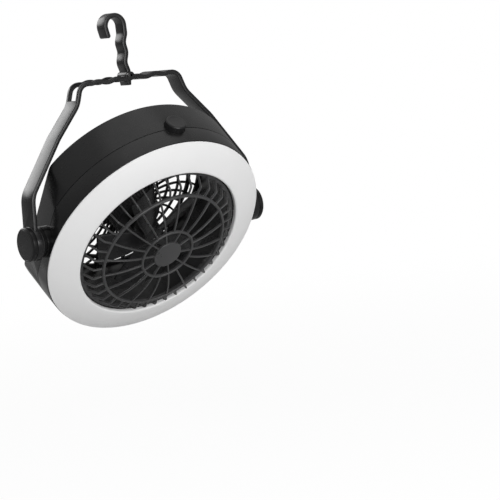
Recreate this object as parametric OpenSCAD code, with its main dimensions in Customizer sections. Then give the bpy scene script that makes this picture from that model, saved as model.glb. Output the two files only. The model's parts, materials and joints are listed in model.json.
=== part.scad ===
// Portable camping fan: a round drum with a light ring and a caged fan, carried in a bail
// that has a fold-away hook. Millimetres, +Z up, +X to the right, the fan looks towards -Y.
// The origin is the inside of the hook's crown, where a branch or a line carries it.
// The drum is drawn with its own axis along +Z and its pivots on X, then tipped into place.

/* [Pose] */
// Angle by which the hanging drum looks down from level
tilt = 38.6; // [0:0.1:90]

/* [Drum] */
// Width of the drum's band from the inside of the duct to the seam
band_w = 25; // [23:0.1:28]
// How much smaller the drum's radius is where it meets the light ring
front_step = 0.6; // [0:0.1:2]
// How much larger the drum's radius is at its rear edge
rear_step = 0.7; // [0:0.1:2]
// Depth from the pivots forward to the drum's front edge
front_z = 15.6; // [14.8:0.1:18]
// Depth from the pivots back to the rear face
rear_z = 30; // [27:0.1:33]
// Rounding of the rear edge
edge_round = 3.5; // [3:0.1:5]
// Wall of the two housings
wall = 2.2; // [1.8:0.1:2.6]
// How far the two flats cut into the drum, at the pivots
flat_depth = 5.8; // [4.5:0.1:6.5]
// Angle by which the flats close in towards the rear
flat_angle = 13.2; // [10:0.1:15]
// Width of the groove along the seam
groove_w = 0.5; // [0.3:0.1:0.8]
// Depth of the groove along the seam
groove_d = 0.6; // [0.3:0.1:0.9]

/* [Duct] */
// Inside radius of the duct round the fan
duct_r = 66; // [65:0.1:67]
// Wall of the duct
duct_wall = 1.8; // [1.4:0.1:2]
// Depth from the pivots to the front end of the duct
duct_z = 21.2; // [20:0.1:23]
// Distance from the pivots to the front side of the light's floor
floor_z = 10.4; // [10.2:0.1:11]
// Thickness of the light's floor
floor_t = 1.8; // [1.4:0.1:2]

/* [Light] */
// How far the diffuser's outer edge stands back from the drum's edge
ring_edge = 0.4; // [0:0.1:1]
// How far the diffuser's inner edge stands back from the inside of the duct
lip_step = 0.9; // [0.4:0.1:1.5]
// How far the inner edge stands in front of the outer edge
ring_rise = 8.4; // [7:0.1:10]
// How far the face bows out of a straight cone
ring_bow = 1; // [0.5:0.1:2]
// Thickness of the diffuser
ring_t = 2; // [1.6:0.1:2.4]
// Gap between the duct and the light board
board_gap = 2.7; // [2:0.1:4]
// How far the light board stops short of the flats
board_edge = 2.2; // [2:0.1:5]
// Thickness of every circuit board
board_t = 1.2; // [0.8:0.1:1.6]
// Number of light chips
led_count = 24; // [12:2:30]
// Size of a light chip along, across and up
led_size = [3.5, 2.8, 0.8];

/* [Front grille] */
// Number of ribs on the side of the cage, of which every fourth one reaches the disc
rib_count = 40; // [32:4:48]
// Width of a rib
rib_w = 1.3; // [1:0.1:1.8]
// Depth of a rib
rib_d = 1.8; // [1.4:0.1:2.4]
// Distance from the cage's turn inwards to the large ring
front_w = 7.7; // [5:0.1:10]
// Radius of the small ring
grille_r2 = 21.4; // [18:0.1:25]
// Radius of the centre disc
disc_r = 11.5; // [9:0.1:14]
// How far the large ring stands in front of the pivots
grille_z1 = 31.4; // [29:0.1:33]
// How far the centre disc stands in front of the pivots
grille_z2 = 37.8; // [36:0.1:40]
// How far inside the duct's wall the side of the cage turns over to its front
knee_in = 7; // [5:0.1:9]
// How far that turn stands in front of the pivots
knee_z = 29.8; // [28:0.1:31]
// Distance over which the turn is rounded
knee_round = 1.2; // [0.8:0.1:2]
// Width of the flange that is seated in the duct
rim_w = 3.1; // [2.4:0.1:3.6]
// Depth of the flange
rim_h = 2; // [1.6:0.1:3]

/* [Rear grille] */
// Number of curved bars
bar_count = 36; // [24:2:40]
// Width of a curved bar
bar_w = 1.5; // [1.2:0.1:1.8]
// Thickness of the rear grille
bar_t = 2.2; // [1.8:0.1:2.6]
// Radius of the arc that each bar follows
bar_arc_r = 36; // [34:0.5:44]
// Radius of the plate that carries the motor
plate_r = 20.5; // [20.4:0.1:22]
// Distance from the duct's wall inwards to the wide ring
wide_ring_in = 10; // [8:0.1:12]
// Width of the wide ring
wide_ring_w = 3; // [2.4:0.1:4]
// Gap between the narrow rings
ring_gap = 9.2; // [8.5:0.1:10]

/* [Fan] */
// Number of blades
blade_count = 5; // [3:1:7]
// Angle round the axis at which the first blade is drawn
blade_turn = 42.6; // [0:0.1:72]
// Gap between the duct and the blade tips
tip_gap = 18; // [10:0.1:22]
// Chord of a blade at the hub
blade_root = 12; // [9:0.5:14]
// Chord of a blade at its tip
blade_tip = 24.6; // [20:0.1:28]
// Distance from the pivots to the middle of the blades
blade_z = 14.6; // [13:0.1:15.5]
// Radius of the hub
hub_r = 9.2; // [7.5:0.1:10]
// Distance from the pivots to the hub's rear end
hub_z0 = -5; // [-5.4:0.1:-4]
// Distance from the pivots to the hub's front end
hub_z1 = 16; // [13:0.1:17]
// Thickness of a blade
blade_t = 1.6; // [1.2:0.1:2]
// Pitch of the blades
blade_pitch = 18.5; // [14:0.5:30]
// Radius of the blades' camber
camber_r = 58; // [46:1:80]

/* [Motor] */
// Outside radius of the motor's ribbed cup
cup_r = 18.4; // [18:0.1:19]
// Wall of the motor's cup
cup_wall = 1.5; // [1.2:0.1:1.8]
// Distance from the pivots to the front of the motor's cup
cup_z = -6.4; // [-7:0.1:-6]
// Number of ribs round the cup
cup_ribs = 40; // [24:2:44]
// Radius of the motor
motor_r = 16.2; // [15:0.1:16.3]
// Length of the motor
motor_len = 17.8; // [16:0.1:19]
// Radius of the motor's shaft
shaft_r = 1; // [0.8:0.1:1.5]
// Radius of the motor's bearing
bearing_r = 3.2; // [2.8:0.1:3.6]

/* [Pivots] */
// Radius of the boss on each flat
boss_r = 11.8; // [11:0.1:12.5]
// How far the bosses stand out of the flats, at the pivots
boss_out = 4.8; // [4:0.1:6]
// Length of the pivot studs inside the drum
stud_len = 12; // [11:0.1:13]
// Radius of the pivot stud in the boss
stud_r = 6.5; // [6:0.1:7]
// Radius of the spigot that the handle turns on
spigot_r = 4; // [3.5:0.1:4.5]
// Thickness of the stud's collar and of the friction washer
collar_t = 3; // [2.6:0.1:3.4]
// Thickness of a friction washer
washer_t = 1; // [0.8:0.1:1.4]
// Radius of the side caps
cap_r = 12.9; // [12.4:0.1:14]
// Thickness of the side caps
cap_t = 3.6; // [3.5:0.1:4.5]

/* [Handle] */
// Width of the handle's strap
strap_w = 16.6; // [15.4:0.1:18]
// Thickness of the handle's strap
strap_t = 3.4; // [3:0.1:3.8]
// Radius of the eyes at the strap's ends
eye_r = 13; // [12:0.1:14]
// Thickness of the eyes
eye_t = 5; // [4.4:0.1:5.6]
// Gap between the drum's seam and the middle of the top bar
bar_gap = 19.6; // [18:0.1:25]
// Height of the waves of the top bar
bar_wave = 0.8; // [0.5:0.1:1.2]
// Length of a wave of the top bar
bar_pitch = 16.8; // [14:0.1:20]
// Length of a full wave crest's offset from the middle
bar_phase = 6.1; // [0:0.1:8]
// Depth under the top bar of the corner where the steep shoulders start
shoulder_drop = 14.8; // [13:0.1:17]
// Width of the slot that the hook folds into
slot_w = 11.7; // [11.6:0.1:12.4]
// Depth under the top bar at which the slot starts
slot_drop = 11.3; // [11:0.1:12.5]
// End of the slot, past the hook's pin
slot_x = 10; // [9.6:0.1:12]

/* [Hook] */
// Width of the hook
hook_w = 11.3; // [10.8:0.1:11.4]
// Thickness of the hook
hook_t = 3.4; // [3:0.1:3.6]
// Inside radius of the hook's crown
crown_r = 6.35; // [6:0.05:6.6]
// Sideways place of the crown's centre
crown_x = -5.4; // [-6:0.1:-5]
// Height of the crown's centre over the top bar
crown_rise = 39.9; // [38:0.1:42]
// Sideways place of the hook's pin
pin_x = 1.4; // [0:0.1:2]
// Height of the hook's pin over the middle of the top bar
pin_rise = 1.9; // [1:0.1:2.4]
// Radius of the hook's pin
pin_r = 1.2; // [1:0.05:1.4]
// Radius of the knuckle round the pin
knuckle_r = 3.1; // [2.8:0.1:3.4]
// Height of the shank's waves
hook_wave = 0.8; // [0.3:0.1:1]
// Length of the shank's waves
hook_pitch = 15.2; // [14:0.1:17]
// Depth of the last wave's crest under the crown's centre
crest_drop = 5.3; // [4.5:0.1:6]
// Angle past the half turn at which the curl runs out straight
curl_angle = 12; // [8:1:25]
// Length of the straight tip
tip_len = 5.2; // [4:0.1:6]
// Width of the foot beside the pin
foot_w = 5; // [4:0.1:6]
// Width of the foot's end
foot_end_w = 3; // [2:0.1:4]
// How far the foot's middle lies to the left of the pin
foot_shift = 0.9; // [0:0.1:1.5]
// Depth of the foot under the pin
foot_z = 7.3; // [6:0.1:7.4]

/* [Button] */
// Angle round the drum at which the button stands
button_angle = 87.4; // [85:0.1:95]
// Distance from the pivots to the button's centre, along the drum's axis
button_z = -2; // [-3:0.1:0]
// Radius of the button
button_r = 8; // [7:0.1:9]
// How far the button stands out of the drum
button_out = 4.7; // [3:0.1:6]
// Travel of the button
button_travel = 1.2; // [0.8:0.1:1.5]
// Depth of the control board's underside below the drum's seam
control_depth = 15; // [14.5:0.1:16]
// Size of the control board along and across the drum's rim
control_size = [38, 18];
// How far the control board's middle lies off the button's
control_shift = 2; // [0:0.1:3]

/* [Power] */
// Radius of a battery cell
cell_r = 7.1; // [6.8:0.05:7.2]
// Length of a battery cell
cell_len = 50; // [46:0.5:51]
// Gap between the duct and the cells
cell_gap = 2.1; // [1:0.1:2.5]
// Distance from the pivots back to the cells
cell_z = 12.6; // [12:0.1:13.5]
// Angles round the drum at which the cells lie
cell_angles = [226, 275];
// Angle round the drum at which the charging socket sits
socket_angle = 314; // [312:0.5:318]
// Distance from the pivots back to the charging board's front side
charge_z = 14.6; // [13.6:0.1:15]
// Size of the charging socket along the rim, along the drum's axis and inwards
socket_size = [9, 3.2, 7.4];
// Size of the charging board along the rim and inwards
charge_size = [18, 9.8];
// Gap between the boards and the outer wall
board_slack = 0.4; // [0.2:0.1:0.8]
// Size of a cell's tab inwards, along the cell and along the drum's axis
tab_size = [7, 0.5, 6];

/* [Fasteners] */
// Angles round the drum at which the screws hold the housings together
screw_angles = [36, 144, 200, 250.5, 299, 336];
// Gap between the duct and the middle of the housing screws
screw_gap = 11.2; // [10:0.1:12]
// Radius of a housing screw
screw_r = 1.5; // [1.2:0.05:1.7]
// Radius of the screws' heads
head_r = 2.8; // [2.4:0.1:2.9]
// Radius of the screw posts
post_r = 4; // [3.8:0.1:4.4]
// How far the screws' heads reach into the posts
head_seat = 0.4; // [0.2:0.1:0.8]

/* [Fits] */
// Gap round parts that are pushed or screwed together
fit = 0.05; // [0.02:0.01:0.08]
// Gap round the button
button_fit = 0.2; // [0.1:0.05:0.3]
// Least gap between the turning drum and the handle
swing_gap = 0.4; // [0.3:0.1:1.5]
// Radius of a cable
cable_r = 0.7; // [0.5:0.05:0.9]

/* [Hidden] */
$fn = 96;

big = 200;                                 // larger than the whole drum
sides = [-1, 1];
arc_steps = 8;
// Drum
seam_r = duct_r + band_w;
front_r = seam_r - front_step;
rear_r = seam_r + rear_step;
flat_x = seam_r - flat_depth;
swing_r = norm([rear_r - edge_round, rear_z - edge_round]) + edge_round;
flat_slope = tan(flat_angle);
flat_inset = wall / cos(flat_angle);
duct_out = duct_r + duct_wall;
back_z = wall - rear_z;                    // inside of the rear face
floor_back = floor_z - floor_t;
ledge_t = 1.6;
ledge_z = duct_z - rim_h - ledge_t;        // ledge in the duct that the front grille rests on
ledge_w = 2;
// Light ring
ring_r = front_r - ring_edge;
ring_in_r = duct_r + lip_step;             // radius of the diffuser's inner edge
ring_z = front_z + fit;                    // rear of the diffuser's outer edge
lip_z = duct_z + fit;                      // rear of the diffuser's inner lip
ring_crest = ring_z + ring_t / 2 + ring_rise;
ring_run = norm([ring_r - ring_in_r, ring_rise]);
bow_r = (ring_run * ring_run / 4 + ring_bow * ring_bow) / (2 * ring_bow);
board_r0 = duct_out + board_gap;
board_r1 = flat_x - board_edge;
led_r = (board_r0 + board_r1) / 2;
// Front grille
knee_r = duct_r - knee_in;
grille_r1 = knee_r - front_w;
rim_z = ledge_z + ledge_t;
rim_r = duct_r - fit;
rib_z1 = grille_z1 - 0.6;                  // height of the ribs at the large ring
dome_z2 = grille_z2 - 1.4;                 // height of the small ring
disc_t = 2;
// Rear grille
wide_ring_r = duct_r - wide_ring_in;
grille_back = -rear_z;
grille_front = bar_t - rear_z;
seat_r = duct_r + 1;                       // the rear grille sits in the end of the duct
grille_rim_w = 3.2;
lead_angle = 262;
// Fan and motor
blade_r = duct_r - tip_gap;
cup_back = grille_front + fit;
motor_front = cup_z - cup_wall - fit;
motor_back = motor_front - motor_len;
motor_screw_d = 11;
motor_screw_r = 1.3;
shaft_end = hub_z1 - 4;
// Pivots
boss_x = flat_x + boss_out;
collar_x = boss_x + fit;
spigot_x0 = collar_x + collar_t;
eye_x0 = spigot_x0 + washer_t + fit;
eye_x1 = eye_x0 + eye_t;
spigot_x1 = eye_x1 + 0.2;
retainer_r = 8.4;
retainer_t = 0.8;
cap_x0 = eye_x1 + 0.3;
cap_x1 = cap_x0 + cap_t;
stud_x0 = boss_x - stud_len;
stud_flange_r = 8.2;
stud_flange_t = 2;
inner_boss_r = 8.4;
pivot_screw_r = 2;
pivot_head_r = 3.6;
pivot_head_t = 1.6;
// Fasteners
screw_d = duct_out + screw_gap;
// Handle: the strap's centre line is where these lines meet, each a normal's angle and a distance
arm_lean = 3.6;
arm_d = (eye_x1 - strap_t / 2) * cos(arm_lean);
side_d = swing_r + swing_gap + strap_t / 2;
bar_z = seam_r + bar_gap;
upper_lean = 41.8;
upper_d = side_d + strap_t / 2;
shoulder_lean = 18.4;
shoulder_z = bar_z - shoulder_drop;
shoulder_x = (upper_d - shoulder_z * sin(upper_lean)) / cos(upper_lean);
shoulder_d = shoulder_x * cos(shoulder_lean) + shoulder_z * sin(shoulder_lean);
arm_lines = [
    [arm_lean, arm_d], [35.5, side_d], [upper_lean, upper_d], [shoulder_lean, shoulder_d], [90, bar_z]
];
arm_rounds = [20, 40, 20, 8];
slot_z = bar_z - slot_drop;
pin_z = bar_z + pin_rise;
boss_gap = 0.3;                            // how far the handle's bosses stay under the knuckle's size
// Hook
crown_z = bar_z + crown_rise;
crown_mid = crown_r + hook_t / 2;
shank_top = crown_z - crest_drop;          // last crest of the shank's waves
shank_x = crown_x + crown_mid;
shank_base = 0.5;
hinge_gap = 0.07;
// Button and its switch
button_sink = 0.9;                         // how far the button's flange lies under the wall
button_seat = seam_r - wall - button_sink;
control_r = seam_r - control_depth;
button_top = seam_r + button_out;
flange_r = button_r + 1.5;
flange_t = 1.6;
plunger_r = 1.7;
switch_size = [6.2, 6.2, 3.6];
board_top = control_r + board_t;
switch_top = board_top + switch_size[2];
stem_end = switch_top + 1.5;
// Power
cell_d = duct_out + cell_gap + cell_r;
charge_back = -charge_z - board_t;
charge_out = sqrt(pow(seam_r - wall, 2) - pow(charge_size[0] / 2, 2)) - board_slack;
charge_post = [5, 3];
socket_in = seam_r - 0.6 - socket_size[2];
lead_gap = 3.6;                            // from the duct to the middle of the inner lead
lead_r0 = duct_out + lead_gap;
lead_z = 4;
lead_step = 2.2;

function arc(c, r, a0, a1, n) = [for (i = [0:n]) let (a = a0 + (a1 - a0) * i / n) c + r * [cos(a), sin(a)]];

// Where two lines meet, each given by its normal's angle and its distance from the pivots
function meet(l, m) = let (det = sin(m[0] - l[0]))
    [(l[1] * sin(m[0]) - m[1] * sin(l[0])) / det, (m[1] * cos(l[0]) - l[1] * cos(m[0])) / det];

// The points of a rounded corner between two lines, walked from the first line to the second
function corner(l, m, r) = let (c = meet([l[0], l[1] - r], [m[0], m[1] - r]))
    arc(c, r, l[0], m[0], arc_steps);

// The same for a corner that bends the other way
function hollow(l, m, r) = let (c = meet([l[0], l[1] + r], [m[0], m[1] + r]))
    arc(c, r, l[0] + 180, m[0] + 180, arc_steps);

function mirrored(points) = [for (i = [len(points) - 1:-1:0]) [-points[i][0], points[i][1]]];

// The outline of a strip of even thickness along a path
function heading(p, i) = let (d = p[min(i + 1, len(p) - 1)] - p[max(i - 1, 0)]) d / norm(d);
function side_of(p, i, o) = let (h = heading(p, i)) p[i] + o * [-h[1], h[0]];
function strip(p, t) = concat(
    [for (i = [0:len(p) - 1]) side_of(p, i, t / 2)],
    [for (i = [len(p) - 1:-1:0]) side_of(p, i, -t / 2)]
);

// The drum's outline, moved inwards by w
function skin(w) = concat(
    [[0, w - rear_z]],
    arc([rear_r - edge_round, edge_round - rear_z], edge_round - w, -90, 0, arc_steps),
    [[seam_r - w, 0], [front_r - w, front_z], [0, front_z]]
);

module hung() translate([-crown_x, 0, -crown_z - crown_r]) children();
module in_drum() hung() rotate([90 + tilt, 0, 0]) children();
module across(w) rotate([90, 0, 0]) linear_extrude(w, center = true) children();
module tube(r0, r1, z0, z1) translate([0, 0, z0]) difference() {
    cylinder(r = r1, h = z1 - z0);
    translate([0, 0, -1]) cylinder(r = r0, h = z1 - z0 + 2);
}
module disc(r, z0, z1) translate([0, 0, z0]) cylinder(r = r, h = z1 - z0);
module slab(z0, z1) translate([-big, -big, z0]) cube([2 * big, 2 * big, z1 - z0]);
// Carries something drawn along +Z from the drum's axis out to its rim
module radial(angle, z) translate([0, 0, z]) rotate([0, 0, angle - 90]) rotate([-90, 0, 0]) children();
// A rod along X, on the right side
module rod(r, x0, x1) translate([x0, 0, 0]) rotate([0, 90, 0]) cylinder(r = r, h = x1 - x0);

module flat_block(side, w)
    translate([side * (flat_x - (w > 0 ? flat_inset * w / wall : 0)), 0, 0])
        rotate([0, side * flat_angle, 0])
            translate([side > 0 ? 0 : -big, -big, -big]) cube([big, 2 * big, 2 * big]);

module skin_solid(w) difference() {
    rotate_extrude() polygon(skin(w));
    for (side = sides) flat_block(side, w);
}

module seam_groove() difference() {
    slab(-groove_w / 2, groove_w / 2);
    skin_solid(groove_d);
}

module outer_wall(z0, z1) intersection() {
    difference() {
        skin_solid(0);
        skin_solid(wall);
        disc(big / 2, front_z - wall, front_z + 1);
    }
    slab(z0, z1);
}

// The front edge of the outer wall, which the wall's own inside outline would close
module front_edge() intersection() {
    difference() {
        skin_solid(0);
        disc(front_r - wall, 0, big);
        for (side = sides) flat_block(side, wall);
    }
    slab(front_z - wall - 1, front_z);
}

// The bosses round the pivots, whose outer part starts at x0 inside the flats
module pivot_bosses(x0) for (side = sides) mirror([side < 0 ? 1 : 0, 0, 0]) {
    rod(boss_r, x0, boss_x);
    rod(inner_boss_r, stud_x0 + stud_flange_t + fit, flat_x);
}

module pivot_bores() for (side = sides) mirror([side < 0 ? 1 : 0, 0, 0])
    rod(stud_r + fit, stud_x0, boss_x + 1);

module button_hole() radial(button_angle, button_z)
    translate([0, 0, button_seat - 1]) cylinder(r = button_r + button_fit, h = 12);

module screw_posts(z0, z1) for (a = screw_angles)
    rotate([0, 0, a]) translate([screw_d, 0, z0]) cylinder(r = post_r, h = z1 - z0);

module screw_holes(r, z0, z1) for (a = screw_angles)
    rotate([0, 0, a]) translate([screw_d, 0, z0]) cylinder(r = r, h = z1 - z0);

module front_housing() color("#262628") in_drum() difference() {
    union() {
        outer_wall(0, front_z);
        front_edge();
        intersection() {
            skin_solid(wall / 2);
            tube(duct_out - 0.5, big / 2, floor_back, floor_z);
        }
        tube(duct_r, duct_out, 0, duct_z);
        tube(duct_r - ledge_w, duct_out, ledge_z, ledge_z + ledge_t);
        intersection() {
            pivot_bosses(flat_x - wall / 2);
            slab(0, boss_r);
        }
        screw_posts(0, floor_back + 0.5);
    }
    pivot_bores();
    button_hole();
    seam_groove();
    screw_holes(screw_r + fit, -1, floor_back - 1);
}

module rear_housing() color("#262628") in_drum() difference() {
    union() {
        outer_wall(-rear_z, 0);
        tube(duct_r, duct_out, -rear_z, 0);
        intersection() {
            pivot_bosses(flat_x - flat_slope * boss_r);
            slab(-boss_r, 0);
        }
        screw_posts(back_z - 0.5, 0);
        board_posts();
        charge_posts();
        cell_cradles();
    }
    disc(seat_r, -rear_z - 1, grille_front);
    pivot_bores();
    button_hole();
    seam_groove();
    screw_holes(screw_r + fit, -rear_z - 1, 1);
    screw_holes(head_r + 0.2, -rear_z - 1, back_z + head_seat);
    socket_window();
    lead_notch();
}

// Two posts that hold the control board off the duct
module board_posts() radial(button_angle, button_z) for (side = sides)
    translate([side * (control_size[0] / 2 - post_r) - post_r / 2, post_r, duct_out - duct_wall / 2])
        cube([post_r, post_r, control_r - fit - duct_out + duct_wall / 2]);

// Two posts that carry the charging board
module charge_posts() rotate([0, 0, socket_angle]) for (side = sides)
    translate([socket_in - 2, side * (charge_size[0] - charge_post[1]) / 2 - charge_post[1] / 2, back_z - 0.5])
        cube([charge_post[0], charge_post[1], charge_back - fit - back_z + 0.5]);

// Two cradles under each cell
module cell_cradles() for (a = cell_angles) rotate([0, 0, a]) for (side = sides)
    translate([0, side * cell_len / 4, 0]) difference() {
        translate([duct_out - 2.6, -1, back_z - 0.5])
            cube([seam_r - wall - duct_out, 2, rear_z - wall - cell_z - cell_r / 2 + 0.5]);
        translate([cell_d, 0, -cell_z]) rotate([90, 0, 0])
            cylinder(r = cell_r + fit, h = 4, center = true);
    }

module socket_window() rotate([0, 0, socket_angle])
    translate([socket_in + 2, 0, socket_size[1] / 2 - charge_z]) rotate([90, 0, 90]) linear_extrude(big)
        rounded_bar(socket_size[0] + 0.6, socket_size[1] + 0.6);

// A bar with round ends, w long and h high
module rounded_bar(w, h) {
    square([w - h, h], center = true);
    for (side = sides) translate([side * (w - h) / 2, 0]) circle(d = h);
}

module lead_notch() rotate([0, 0, lead_angle])
    translate([duct_r - 1, -3 * cable_r - 0.4, grille_front - 1])
        cube([duct_wall + 2, 6 * cable_r + 0.8, 2 * cable_r + 1.4]);

// The face of the diffuser: an arc from the outer edge to the inner edge, moved inwards by w
module ring_face(w) {
    mid = [(ring_r + ring_in_r) / 2, ring_z + ring_t / 2 + ring_rise / 2];
    across_face = [ring_rise, ring_r - ring_in_r] / ring_run;
    translate(mid - (bow_r - ring_bow) * across_face) circle(r = bow_r - w, $fn = 240);
}

module diffuser() color("#e8e8e6") in_drum() rotate_extrude() intersection() {
    difference() {
        ring_face(0);
        difference() {
            ring_face(ring_t);
            translate([ring_in_r - 1, lip_z - 1]) square([ring_t + 1, ring_crest]);
        }
    }
    translate([ring_in_r, 0]) polygon([
        [0, lip_z], [ring_t, lip_z], [ring_t + 2, ring_z],
        [ring_r - ring_in_r, ring_z], [ring_r - ring_in_r, big], [0, big]
    ]);
}

module light_board() color("#d8dcd8") in_drum()
    tube(board_r0, board_r1, floor_z + fit, floor_z + fit + board_t);

module light_chips() color("#f2e6a0") in_drum() for (i = [0:led_count - 1])
    rotate([0, 0, (i + 0.5) * 360 / led_count]) translate([led_r, 0, floor_z + 2 * fit + board_t])
        translate([-led_size[1] / 2, -led_size[0] / 2, 0]) cube([led_size[1], led_size[0], led_size[2]]);

// The height of the dome's ribs at a radius
function dome(r) = rib_z1 + (dome_z2 - rib_z1) * (1 - pow((r - grille_r2) / (grille_r1 - grille_r2), 2));

// A rounded turn at b between the lines from a and to c, k long on each of them
function turn_at(a, b, c, k) = let (p = b + k * (a - b) / norm(a - b), q = b + k * (c - b) / norm(c - b))
    [for (i = [0:5]) let (t = i / 5) (1 - t) * (1 - t) * p + 2 * t * (1 - t) * b + t * t * q];

// The path of a front rib, from the flange up the side of the cage and over the dome
rib_foot = [rim_r - rim_w / 2 - 0.3, rim_z + rim_h / 2];
rib_side = concat(
    [rib_foot], turn_at(rib_foot, [knee_r, knee_z], [grille_r1, rib_z1], knee_round), [[grille_r1, rib_z1]]
);
function rib_path(r_end) = r_end == grille_r1 ? rib_side : concat(
    rib_side,
    [for (i = [1:6]) let (r = grille_r1 + (r_end - grille_r1) * i / 6) [r, dome(max(r, grille_r2))]]
);

module front_rib(r_end) rotate([90, 0, 0]) linear_extrude(rib_w, center = true)
    polygon(strip(rib_path(r_end), rib_d));

module ring_bar(r, z, w, h) rotate_extrude() translate([r, z]) rounded_end(w, h);
module rounded_end(w, h) {
    translate([0, -h / 4]) square([w, h / 2], center = true);
    intersection() {
        circle(d = w);
        translate([0, w / 2]) square([w, w], center = true);
    }
}

module front_grille() color("#303032") in_drum() {
    tube(rim_r - rim_w, rim_r, rim_z + fit, rim_z + rim_h);
    for (i = [0:rib_count - 1]) rotate([0, 0, i * 360 / rib_count])
        front_rib(i % 4 == 0 ? disc_r - 2 : i % 2 == 0 ? grille_r2 : grille_r1);
    ring_bar(grille_r1, grille_z1, 2.2, 3);
    ring_bar(grille_r2, dome_z2 + 0.5, 2, 2.6);
    disc(disc_r, grille_z2 - disc_t, grille_z2 - 0.5);
    disc(disc_r - 0.5, grille_z2 - 0.6, grille_z2);
}

// A curved bar of the rear grille, an arc from the motor's plate out to the rim
module curved_bar() intersection() {
    translate([(plate_r + seat_r) / 2, -bar_arc_r * 0.76, grille_back]) tube(
        bar_arc_r - bar_w / 2, bar_arc_r + bar_w / 2, 0.2, bar_t - 0.2);
    translate([0, -bar_arc_r * 0.76, 0]) translate([plate_r - 1, 0, -rear_z])
        cube([seat_r - plate_r, 2 * bar_arc_r, bar_t]);
    tube(plate_r - 1, seat_r - 1, -rear_z, grille_front);
}

module rear_grille() color("#222224") in_drum() difference() {
    union() {
        tube(seat_r - fit - grille_rim_w, seat_r - fit, grille_back, grille_front - fit);
        disc(plate_r, grille_back, grille_front);
        for (i = [0:bar_count - 1]) rotate([0, 0, i * 360 / bar_count]) curved_bar();
        tube(wide_ring_r - wide_ring_w / 2, wide_ring_r + wide_ring_w / 2, grille_back, grille_front);
        for (i = [1:3]) tube(wide_ring_r - i * ring_gap - 0.7, wide_ring_r - i * ring_gap + 0.7,
            grille_back, grille_front);
        rotate([0, 0, lead_angle]) translate([plate_r - 1, -3, grille_back])
            cube([seat_r - plate_r - 1, 6, bar_t - 0.4]);
    }
    for (side = sides) translate([0, side * motor_screw_d, -rear_z - 1])
        cylinder(r = motor_screw_r + fit, h = bar_t + 2);
}

module blade() intersection() {
    rotate([blade_pitch, 0, 0]) intersection() {
        translate([0, 0, -camber_r]) rotate([0, 90, 0])
            tube(camber_r - blade_t / 2, camber_r + blade_t / 2, 1, blade_r + 5);
        linear_extrude(2 * camber_r, center = true) polygon([
            [hub_r - 3, -blade_root / 2], [blade_r * 0.9, -blade_tip / 2], [blade_r + 3, -blade_tip / 2],
            [blade_r + 3, blade_tip / 2], [blade_r * 0.9, blade_tip / 2],
            [blade_r * 0.5, blade_tip * 0.42], [hub_r - 3, blade_root / 2]
        ]);
        translate([0, -camber_r, -camber_r]) cube([2 * blade_r, 2 * camber_r, 2 * camber_r]);
    }
    tube(hub_r - 2, blade_r, -camber_r, camber_r);
}

module impeller() color("#1c1c1e") in_drum() difference() {
    union() {
        disc(hub_r, hub_z0, hub_z1 - 1);
        disc(hub_r - 1, hub_z1 - 1.5, hub_z1);
        for (i = [0:blade_count - 1]) rotate([0, 0, blade_turn + i * 360 / blade_count])
            translate([0, 0, blade_z]) blade();
    }
    disc(shaft_r, hub_z0 - 1, shaft_end);
}

module motor_shaft() color("#b8bcc0") in_drum() disc(shaft_r, motor_back + 2, shaft_end);

module motor() color("#9a9da2") in_drum() difference() {
    disc(motor_r, motor_back, motor_front);
    disc(shaft_r + hinge_gap, motor_back + 1.8, motor_front + 1);
    for (side = sides) translate([0, side * motor_screw_d, motor_back - 1])
        cylinder(r = motor_screw_r + fit, h = 5);
}

module motor_bearing() color("#b08d4a") in_drum() tube(
    shaft_r + hinge_gap, bearing_r, motor_front + fit, cup_z + 0.6);

module motor_cup() color("#4a4b4e") in_drum() difference() {
    union() {
        disc(cup_r, cup_back, cup_z - 1);
        disc(cup_r - 1, cup_z - 1.5, cup_z);
        for (i = [0:cup_ribs - 1]) rotate([0, 0, i * 360 / cup_ribs])
            translate([cup_r - 0.5, -0.5, cup_back + 3]) cube([1.2, 1, cup_z - cup_back - 5]);
    }
    disc(cup_r - cup_wall, cup_back - 1, cup_z - cup_wall);
    disc(bearing_r + fit, cup_back, cup_z + 1);
    rotate([0, 0, lead_angle]) translate([cup_r - 4, -3 * cable_r - 0.4, cup_back - 1])
        cube([8, 6 * cable_r + 0.8, 2 * cable_r + 1.6]);
}

module motor_screws() color("#8d9095") in_drum() for (side = sides)
    translate([0, side * motor_screw_d, 0]) {
        disc(motor_screw_r, -rear_z - 1, motor_back + 3.6);
        disc(2 * motor_screw_r, -rear_z - 1.3, -rear_z - fit);
    }

module housing_screws() color("#8d9095") in_drum() for (a = screw_angles)
    rotate([0, 0, a]) translate([screw_d, 0, 0]) {
        disc(screw_r, back_z + 0.2, floor_back - 2);
        difference() {
            disc(head_r, back_z + head_seat - fit - wall, back_z + head_seat - fit);
            translate([-head_r * 0.6, -0.35, back_z - wall]) cube([head_r * 1.2, 0.7, 1.2]);
            translate([-0.35, -head_r * 0.6, back_z - wall]) cube([0.7, head_r * 1.2, 1.2]);
        }
    }

module on_side(side) in_drum() mirror([side < 0 ? 1 : 0, 0, 0]) children();

module pivot_stud() difference() {
    union() {
        rod(stud_flange_r, stud_x0, stud_x0 + stud_flange_t);
        rod(stud_r, stud_x0, collar_x);
        rod(boss_r - 0.4, collar_x, spigot_x0);
        rod(spigot_r, collar_x, spigot_x1);
    }
    rod(pivot_screw_r + fit, stud_x0 + 3, spigot_x1 + 1);
}

module pivot_stud_left() color("#2a2a2c") on_side(-1) pivot_stud();
module pivot_stud_right() color("#2a2a2c") on_side(1) pivot_stud();

module ring_washer(r0, r1, x0, x1) difference() {
    rod(r1, x0, x1);
    rod(r0, x0 - 1, x1 + 1);
}

module friction_washers() color("#141414") for (side = sides) hung() mirror([side < 0 ? 1 : 0, 0, 0])
    ring_washer(spigot_r + fit, boss_r, spigot_x0 + fit, spigot_x0 + washer_t);

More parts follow.
